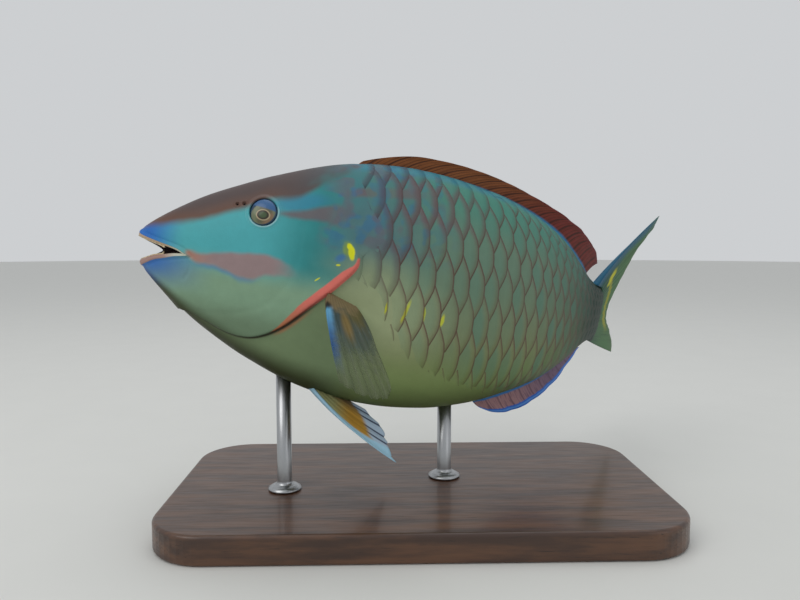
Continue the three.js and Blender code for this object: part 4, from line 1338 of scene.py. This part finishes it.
def finMaterial(name, paint):
    # The fin's own colour and alpha by paint(u, v, toRay), with fine cross bars on the rays as relief
    material, inputs = newMaterial(name, 0.5, 0.2, 0.03, 0.25, 1.33)
    u, v, toRay = readField("finU"), readField("finV"), readField("toRay")
    colour, alpha = paint(u, v, toRay)
    connect(inputs["Base Color"], colour)
    connect(inputs["Alpha"], alpha)
    addBump(inputs, calc("SINE", v * 150.0) * 0.2 + noise(0.6), 0.1)
    return material


dorsal = {
    "start": 108.0, "end": 285.0, "rays": 19, "sunk": 4.0, "scallop": 0.014,
    "thickness": (2.2, 0.3), "ridge": 0.2, "flutter": 0.25,
    "sign": 1, "edge": backHeight, "rootShift": 3.0, "bulge": 0.6,
    "sweep": [(0, 3), (0.05, 10), (0.1, 16), (0.2, 21), (0.4, 24), (0.7, 24), (0.9, 22), (1, 20.5)],
    "stand": [
        (0, 1.5), (0.05, 4.8), (0.1, 6.8), (0.2, 7.9), (0.4, 8.7), (0.5, 9.9), (0.6, 12.4), (0.7, 16.2),
        (0.8, 20.4), (0.9, 21), (0.95, 19.5), (1, 13),
    ],
    "front": (126, 76, 42),
    "rear": (112, 46, 40),
    "streak": (66, 36, 24),
    "dark": (54, 30, 24),
    "maroon": (108, 44, 46),
    "blue": (48, 128, 172),
}
anal = {
    "start": 199.0, "end": 292.0, "rays": 12, "sunk": 4.0, "scallop": 0.01,
    "thickness": (2.0, 0.3), "ridge": 0.2, "flutter": 0.25,
    "sign": -1, "edge": bellyDepth, "rootShift": 2.0, "bulge": 0.5,
    "sweep": [(0, 8), (0.1, 12), (0.35, 14), (0.65, 14), (0.9, 12), (1, 10)],
    "stand": [
        (0, 6.5), (0.08, 12.3), (0.2, 15.7), (0.35, 16.9), (0.5, 16.3), (0.65, 14.2), (0.8, 9.5),
        (0.9, 6), (1, 3),
    ],
    "rootLine": [
        (0, 0.5), (0.08, 0.32), (0.2, 0.28), (0.5, 0.28), (0.65, 0.3), (0.8, 0.38), (0.9, 0.48), (1, 0.7),
    ],
    "front": (164, 128, 130),
    "rear": (118, 98, 120),
    "ray": (78, 56, 70),
    "streak": (84, 66, 90),
    "margin": (52, 104, 196),
    "marginLine": (86, 140, 214),
    "rootBlue": (62, 120, 178),
}


def dorsalPaint(u, v, toRay):
    # Orange-brown to maroon with dark streaks between and beside the rays, blue along the root
    c = dorsal
    fine = streaks(u, v, 150, 1.5)
    between = ramp(toRay + fine * 0.3, 0.85, 1.1)
    beside = ramp(toRay, 0.2, 0.32) * ramp(toRay, 0.52, 0.4) * 0.5
    return coats(
        c["front"],
        (ramp(u, 0.3, 0.75), c["rear"]),
        (ramp(fine, 0.45, 0.7) * 0.6, c["streak"]),
        (calc("MAXIMUM", between, beside) * 0.8, c["dark"]),
        (ramp(v, 0.7, 1.0) * ramp(u, 0.3, 0.7) * 0.7, c["maroon"]),
        (ramp(v, 0.27, 0.17), c["blue"]),
    ), 1.0


def analPaint(u, v, toRay):
    # Mauve with fine dark rays, bright blue along the margin and along the root
    c = anal
    fine = streaks(u, v, 110, 2)
    wave = (fine - 0.5) * 0.1
    edge = v + wave
    above = v + wave * 0.5 - curveOf(u, c["rootLine"])
    return coats(
        c["front"],
        (ramp(u, 0.2, 0.7), c["rear"]),
        (ramp(toRay, 0.2, 0.06) * 0.5, c["ray"]),
        (ramp(fine, 0.48, 0.66) * 0.6, c["streak"]),
        (ramp(edge, 0.76, 0.82), c["margin"]),
        (ramp(edge, 0.84, 0.88) * ramp(edge, 0.96, 0.92), c["marginLine"]),
        (ramp(above, 0.035, -0.02), c["rootBlue"]),
    ), 1.0


def ridgeFin(name, fin, material, nodes):
    # A fin folded back along the ridge: sweep moves a ray's tip back, stand lifts it off the ridge
    sweep, stand = profileCurve(fin["sweep"]), profileCurve(fin["stand"])

    def overRidge(u, shift, height):
        # A place moved back from a ray's foot, at a height over the ridge there
        s = fin["start"] + (fin["end"] - fin["start"]) * u + shift
        return s, fin["sign"] * (fin["edge"](s) + height)

    curves = {
        "root": lambda u: overRidge(u, -fin["rootShift"], -fin["sunk"]),
        "control": lambda u: overRidge(u, 0.35 * sweep(u), fin["bulge"] * stand(u)),
        "tip": lambda u: overRidge(u, sweep(u), stand(u)),
    }
    (station, height), offsets, fields = finGrid({**fin, **curves})
    finPiece(name, placed(station, offsets, height), fields, fin["sign"] > 0, material, nodes)


dorsalNodes = ("dorsal_fin_spiny", "dorsal_fin_soft")
ridgeFin("dorsal_fin", dorsal, finMaterial("dorsal membrane", dorsalPaint), dorsalNodes)
ridgeFin("anal_membrane", anal, finMaterial("anal membrane", analPaint), ("anal_fin",))
print("dorsal and anal fins made")

# Tail: a fan of rays in a plane turned, pitched and twisted at the spine's end
caudal = {
    "turn": np.radians(-7.4), "pitch": np.radians(9.9), "twist": np.radians(-9.3),
    "rays": 15, "sunk": 4.0, "scallop": 0.012, "thickness": (4.0, 0.35), "ridge": 0.3, "flutter": 0.0,
    "marginStation": [
        (0, 426), (0.05, 422), (0.1, 412), (0.15, 402), (0.2, 390), (0.27, 382), (0.35, 374), (0.45, 365),
        (0.55, 359.5), (0.65, 363), (0.75, 372), (0.85, 385), (0.92, 397), (0.97, 412), (1, 417.5),
    ],
    "marginHeight": [
        (0, 66.3), (0.05, 57.5), (0.1, 52.5), (0.15, 47), (0.2, 41), (0.27, 33), (0.35, 23.5), (0.45, 11.5),
        (0.55, 0), (0.65, -9.5), (0.75, -17), (0.85, -24.5), (0.92, -33), (0.97, -43.5), (1, -51.8),
    ],
    "spread": [(0, 23), (0.1, 18.5), (0.5, 1), (0.9, -16), (1, -20)],
    "rootShift": [(0, 15), (0.08, 3), (0.2, 0), (0.85, 0), (1, 6)],
    "crescent": [
        (0.05, 0.2), (0.14, 0.33), (0.25, 0.48), (0.36, 0.62), (0.52, 0.8), (0.65, 0.86), (0.8, 0.86),
        (1, 0.8),
    ],
    "spot": ((0.15, 0.36), (0.075, 0.1), 0.0),
    "inner": (42, 84, 62),
    "outer": (76, 116, 74),
    "streak": (42, 66, 48),
    "edge": (40, 92, 124),
    "margin": (92, 116, 84),
    "yellow": (164, 160, 44),
    "spotYellow": (190, 188, 44),
}


def tailPlace(station, side, height):
    # A point of the tail's plane, set on its turned, pitched and twisted axes
    angle = heading(body["length"]) + caudal["turn"]
    pitch, twist = caudal["pitch"], caudal["twist"]
    aft = np.array([np.cos(angle) * np.cos(pitch), np.sin(angle) * np.cos(pitch), np.sin(pitch)])
    level = np.array([-np.sin(angle), np.cos(angle), 0.0])
    upward = np.cross(aft, level) * np.cos(twist) + level * np.sin(twist)
    across = unit(np.cross(upward, aft))
    parts = zip((station - body["length"], height, side), (aft, upward, across))
    fromEnd = sum(part[..., None] * axis for part, axis in parts)
    return toStand(bendPoints(body["length"], 0.0, 0.0) + fromEnd)


def caudalPaint(u, v, toRay):
    # Dark teal with navy outer edges, a yellow spot at the root that runs on as a crescent
    c = caudal
    fine = streaks(u, v, 90, 2)
    wave = fine - 0.5
    off = abs(v - curveOf(u, c["crescent"]) + wave * 0.16)
    return coats(
        c["inner"],
        (ramp(v, 0.1, 0.8), c["outer"]),
        (ramp(fine, 0.45, 0.7) * 0.6, c["streak"]),
        (ramp(abs(u - 0.55) + wave * 0.05, 0.47, 0.54) * 0.85, c["edge"]),
        (ramp(v, 0.86, 0.99) * 0.5, c["margin"]),
        (ramp(off, 0.08, 0.03) * ramp(u, 0.12, 0.2) * ramp(u, 0.92, 0.75) * 0.75, c["yellow"]),
        (spotMask(u, v, *c["spot"], 0.35), c["spotYellow"]),
    ), 1.0


def caudalPiece():
    # Roots lie spread over the tail's root, tips on the margin, and the lobes' rays flare outwards
    keys = ("spread", "rootShift", "marginStation", "marginHeight")
    spread, shift, marginStation, marginHeight = [profileCurve(caudal[key]) for key in keys]

    def root(u):
        height = spread(u)
        return body["length"] - caudal["sunk"] - height * np.tan(caudal["pitch"]) - shift(u), height

    def tip(u):
        return marginStation(u), marginHeight(u)

    def control(u):
        (s0, z0), (s1, z1) = root(u), tip(u)
        flare = 7 * (1 - smoothStep(u, 0, 0.2)) - 1.5 * smoothStep(u, 0.85, 1)
        return s0 + 0.2 * (s1 - s0), z0 + 0.2 * (z1 - z0) + flare

    (station, height), offsets, fields = finGrid({**caudal, "root": root, "tip": tip, "control": control})
    points = tailPlace(station, offsets, height)
    material = finMaterial("caudal membrane", caudalPaint)
    nodes = ("caudal_fin_upper", "caudal_fin_middle", "caudal_fin_lower")
    finPiece("caudal_fin", points, fields, True, material, nodes)


caudalPiece()
print("tail made")

# Paired fins: each lies in a frame of its own, out along aim and back across from the leading edge
pectoral = {
    "rays": 12, "station": 109.0, "height": -12.0, "scallop": 0.01, "thickness": (2.6, 0.25),
    "ridge": 0.15, "flutter": 0.5,
    "aim": {"left": (0.42, -0.79, -0.445), "right": (0.42, -0.79, -0.445)}, "across": (0.846, 0.52, -0.12),
    "tipAlong": [(0, 63), (0.15, 68.5), (0.4, 71), (0.6, 69.5), (0.8, 64), (0.92, 50), (1, 33)],
    "tipAcross": [(0, -20.5), (0.15, -15.5), (0.4, -6), (0.6, 1), (0.8, 6), (0.92, 9.5), (1, 11)],
    "tipRise": 2.0,
    "root": lambda u: (-6 + 0 * u, -4.5 + 9 * u, 0 * u),
    "control": lambda u: (14 - 4 * u, -16 + 28 * u, -3 + 0 * u),
    "goldSpot": ((0.4, 0.5), (0.1, 0.14), 0.3),
    "darkSpot": ((0.0, 0.3), (0.12, 0.05), 0.0),
    "dark": (60, 74, 74),
    "outer": (100, 108, 82),
    "rear": (92, 86, 54),
    "pale": (112, 136, 146),
    "streak": (44, 54, 52),
    "gold": (140, 112, 50),
    "base": (118, 104, 76),
    "lead": (100, 160, 194),
    "leadTip": (56, 92, 142),
    "leadSpot": (24, 28, 30),
}
pelvic = {
    "rays": 6, "station": 106.0, "side": 6.0, "height": -62.0, "scallop": 0.025, "thickness": (2.6, 0.25),
    "ridge": 0.26, "flutter": 0.4,
    "aim": {"left": (0.783, -0.494, -0.379), "right": (0.757, -0.3, -0.58)}, "across": (0.562, 0.822, 0.089),
    "tipAlong": [(0, 61), (0.1, 58), (0.2, 53.5), (0.4, 48), (0.6, 42.5), (0.8, 34), (1, 24)],
    "tipAcross": [(0, 0), (0.2, 4), (0.4, 8.5), (0.6, 13), (0.8, 16.5), (1, 18)],
    "tipRise": 0.0,
    "root": lambda u: (-5 + 0 * u, -1 + 7 * u, 0 * u),
    "control": lambda u: (28 - 18 * u, -7.5 + 21.5 * u, 1.5 + 0 * u),
    "olive": (146, 148, 104),
    "ochre": (168, 128, 54),
    "rear": (122, 104, 76),
    "between": (104, 78, 36),
    "tipPale": (160, 178, 196),
    "tipLine": (56, 62, 84),
    "lead": (150, 188, 208),
}


def pectoralPaint(u, v, toRay):
    # Pinkish-brown root, bright blue leading edge, dark middle with pale streaks, clearer grey-green tip
    c = pectoral
    fine = streaks(u, v, 70, 2.5)
    wave = (noise(5) - 0.5) * 0.3
    far = v + wave
    lead = ramp(u + wave * 0.2 + v * 0.1, 0.24, 0.08) * ramp(v, 0.28, 0.36) * ramp(v, 0.96, 0.78)
    clear = ramp(far, 0.52, 0.9) * ramp(toRay, 0.0, 0.4, 0.6, 1.0)
    pale = ramp(fine, 0.54, 0.72) * ramp(v, 0.4, 0.55) * ramp(far, 0.9, 0.7) * 0.5
    return coats(
        c["dark"],
        (ramp(far, 0.5, 0.86), c["outer"]),
        (ramp(u, 0.35, 0.7) * ramp(far, 0.7, 0.4), c["rear"]),
        (pale, c["pale"]),
        (ramp(fine, 0.45, 0.3) * 0.35, c["streak"]),
        (spotMask(u, v, *c["goldSpot"], 0.6) * 0.6, c["gold"]),
        (ramp(far, 0.42, 0.28), c["base"]),
        (lead, mixColour(ramp(v, 0.35, 0.75), c["lead"], c["leadTip"])),
        (spotMask(u, v, *c["darkSpot"], 0.6) * 0.9, c["leadSpot"]),
    ), 1 - clear * 0.62


def pelvicPaint(u, v, toRay):
    # Olive root, ochre middle, pale blue leading edge that takes in the tip, pale tips with dark lines
    c = pelvic
    wave = (streaks(u, v, 40, 2) - 0.5) * 0.2
    tip = ramp(v + wave * 0.5 + u * 0.14, 0.8, 0.88)
    return coats(
        c["olive"],
        (ramp(v, 0.3, 0.6), c["ochre"]),
        (ramp(u + wave, 0.55, 0.95), c["rear"]),
        (ramp(toRay, 0.6, 1.0) * 0.3, c["between"]),
        (tip, mixColour(ramp(toRay, 0.6, 0.95), c["tipPale"], c["tipLine"])),
        (ramp(u - v * v * 0.17 + wave * 0.15, 0.1, 0.04), c["lead"]),
    ), 1.0


def pairedFins(kind, fin, origins, paint):
    # Both are worked out as left fins, then the right one is mirrored; root, control and tip are (along,
    # across, belly) in the fin's own frame, and belly is how far the sheet bulges out of its plane
    tipAlong, tipAcross = profileCurve(fin["tipAlong"]), profileCurve(fin["tipAcross"])
    tip = {"tip": lambda u: (tipAlong(u), tipAcross(u), fin["tipRise"] + 0 * u)}
    centre, offsets, fields = finGrid({**fin, **tip}, raySteps=10, rows=48)
    material = finMaterial(kind + " membrane", paint)
    for label, sideSign in flanks:
        along = unit(np.array(fin["aim"][label]))
        sideways = unit(np.array(fin["across"]) - np.dot(fin["across"], along) * along)
        normal = np.cross(sideways, along)
        sheet = (centre[2] + offsets)[..., None] * normal
        place = origins[label] + centre[0][..., None] * along + centre[1][..., None] * sideways + sheet
        place[..., 1] *= -sideSign
        nodes = (f"{kind}_fin_{label}",)
        finPiece(f"{kind}_{label}", toStand(place), fields, sideSign < 0, material, nodes)


side = surfaceSide(pectoral["station"], pectoral["height"])
pectoralRoots = {
    label: bendPoints(pectoral["station"], sideSign * side, pectoral["height"]) * (1, -sideSign, 1)
    for label, sideSign in flanks
}
pairedFins("pectoral", pectoral, pectoralRoots, pectoralPaint)
pelvicRoot = (pelvic["station"], -pelvic["side"], pelvic["height"])
pairedFins("pelvic", pelvic, {"left": pelvicRoot, "right": pelvicRoot}, pelvicPaint)
print("paired fins made")

# Stand: a slab with rounded corners and two turned rods
stand = {
    "length": 270.0, "breadth": 150.0, "thickness": 15.0, "corner": 30.0, "bevel": 2.0,
    "rodRadius": 4.0, "foot": 9.0, "footHeight": 2.5, "footEdge": 1.0, "footBevel": 0.3,
    "fillet": 2.4, "gap": 0.3, "intoBelly": 2.5,
    "rods": (("stand_rod_front", 88.0), ("stand_rod_rear", 182.0)),
    "woodDark": (58, 36, 24), "woodLight": (92, 60, 38), "pore": (34, 20, 14),
    "steelDark": (150, 152, 154), "steelLight": (190, 192, 194),
}


def woodMaterial():
    # Grain and pores: noise drawn out along the slab
    material, inputs = newMaterial("dark wood", 0.38, 0.5, 0.3, 0.15)
    grain = noise(7, 6, 0.6, stretch=(0.12, 1.0, 1.0))
    pores = noise(0.9, 3, 0.6, stretch=(0.05, 1.0, 1.0))
    layers = (ramp(grain, 0.35, 0.65), stand["woodLight"]), (ramp(pores, 0.62, 0.75), stand["pore"])
    connect(inputs["Base Color"], coats(stand["woodDark"], *layers))
    connect(inputs["Roughness"], ramp(pores, 0.3, 0.7, 0.34, 0.5))
    addBump(inputs, pores, 0.08)
    return material


def steelMaterial():
    # Brush marks: noise pressed flat, so that it runs round the rods
    material, inputs = newMaterial("brushed steel", 0.3)
    inputs["Metallic"].default_value = 1.0
    brush = noise(0.6, 4, 0.6, stretch=(1.0, 1.0, 12.0))
    connect(inputs["Base Color"], mixColour(brush, stand["steelDark"], stand["steelLight"]))
    connect(inputs["Roughness"], ramp(brush, 0.3, 0.7, 0.24, 0.4))
    addBump(inputs, brush, 0.02, 0.4)
    return material


def standBase(cornerSteps=13):
    # Rounded rectangle rings stacked up a profile with a quarter-round edge at top and bottom
    c = stand
    turn = np.linspace(0, np.pi / 2, cornerSteps)
    inset = c["bevel"] * (1 - np.cos(np.concatenate([turn[::-1], turn])))
    rise = c["bevel"] * (1 - np.sin(turn))
    level = np.concatenate([rise[::-1], c["thickness"] - rise])
    corner = np.concatenate([turn + k * np.pi / 2 for k in range(4)])
    centreX = np.repeat([1, -1, -1, 1], cornerSteps) * (c["length"] / 2 - c["corner"])
    centreY = np.repeat([1, 1, -1, -1], cornerSteps) * (c["breadth"] / 2 - c["corner"])
    radius = c["corner"] - inset[:, None]
    x = centreX + radius * np.cos(corner)
    points = np.stack([x, centreY + radius * np.sin(corner), level[:, None] + 0 * x], -1) * mm
    mesh = makeMesh("display_base", points, ringFaces(*x.shape), smooth=False)
    addPiece("display_base", mesh, woodMaterial(), ("stand_base",))


def standRod(node, station, material, segments=64):
    # A turned outline: stepped foot, then a plain shaft that ends inside the belly
    c = stand
    belly = placed(station, 0.0, -bellyDepth(station)) / mm
    bottom, top = c["thickness"] + c["gap"], belly[2] + c["intoBelly"]
    bend = np.linspace(0, np.pi / 2, 9)
    shaft = c["rodRadius"] + c["fillet"] * (1 - np.sin(bend))
    level = bottom + c["footHeight"] + c["fillet"] * (1 - np.cos(bend))
    outline = np.concatenate([
        [[mm, bottom], [c["foot"] - c["footBevel"], bottom], [c["foot"], bottom + c["footBevel"]]],
        [[c["foot"], bottom + c["footEdge"]]],
        np.stack([shaft, level], -1),
        [[c["rodRadius"], top], [mm, top]],
    ])
    turn = fullTurn(segments)
    x, y = outline[:, :1] * np.cos(turn) + belly[0], outline[:, :1] * np.sin(turn) + belly[1]
    points = np.stack([x, y, outline[:, 1:] + 0 * x], -1) * mm
    mesh = makeMesh(node, points, ringFaces(*x.shape))
    addPiece(node.replace("stand", "display"), mesh, material, (node,))


standBase()
steel = steelMaterial()
for node, station in stand["rods"]:
    standRod(node, station, steel)
print("stand made")

# Studio: a wide pale floor, soft lamps and the camera of the photo's view
studio = {
    "floorRadius": 6.0,
    "floorDark": (214, 214, 210),
    "floorLight": (218, 218, 214),
    "airColour": (0.80, 0.82, 0.84, 1.0),
    "airStrength": 0.76,
    "lamps": (  # name, place, size, power and colour
        ("key", (-0.85, -0.75, 1.1), 1.0, 5.0, (1.0, 0.98, 0.95)),
        ("top", (0.1, 0.15, 1.3), 1.2, 3.0, (0.97, 0.99, 1.0)),
        ("fill", (0.9, -0.8, 0.45), 0.9, 0.8, (1.0, 1.0, 1.0)),
    ),
    "aim": (0.0, 0.0, 0.12),
}
camera = {
    "place": (-0.0212, -0.3875, 0.1501),
    "forward": (0.0282, 0.9962, -0.0821),
    "lens": 31.24,
    "sensor": 36.0,
    "nearest": 0.01,
}


def addToStudio(name, data, place, direction):
    # A lamp or camera at a place, looking in a direction
    item = bpy.data.objects.new(name, data)
    item.location = place
    item.rotation_euler = direction.to_track_quat("-Z", "Y").to_euler()
    bpy.context.scene.collection.objects.link(item)
    return item


def makeFloor(segments=96):
    # A flat disc round the stand
    turn = fullTurn(segments)
    ring = np.stack([np.cos(turn), np.sin(turn), 0 * turn], -1) * studio["floorRadius"]
    mesh = makeMesh("floor", ring, [np.arange(segments)[None, :]], smooth=False)
    floor = bpy.data.objects.new("floor", mesh)
    bpy.context.scene.collection.objects.link(floor)
    material, inputs = newMaterial("floor paint", 0.7)
    connect(inputs["Base Color"], mixColour(noise(40), studio["floorDark"], studio["floorLight"]))
    mesh.materials.append(material)


def makeLights():
    # Even light from all round and three soft discs
    world = bpy.data.worlds.new("studio air")
    world.use_nodes = True
    air = world.node_tree.nodes["Background"].inputs
    air["Color"].default_value = studio["airColour"]
    air["Strength"].default_value = studio["airStrength"]
    bpy.context.scene.world = world
    for name, place, size, power, colour in studio["lamps"]:
        light = bpy.data.lights.new(name, "AREA")
        light.shape = "DISK"
        light.size = size
        light.energy = power
        light.color = colour
        addToStudio(name, light, place, Vector(studio["aim"]) - Vector(place))


def makeCamera():
    # The photo's view
    data = bpy.data.cameras.new("camera")
    data.lens = camera["lens"]
    data.sensor_width = camera["sensor"]
    data.clip_start = camera["nearest"]
    bpy.context.scene.camera = addToStudio("camera", data, camera["place"], Vector(camera["forward"]))


makeFloor()
makeLights()
makeCamera()
bpy.context.scene.view_settings.view_transform = "Standard"
print("studio made")
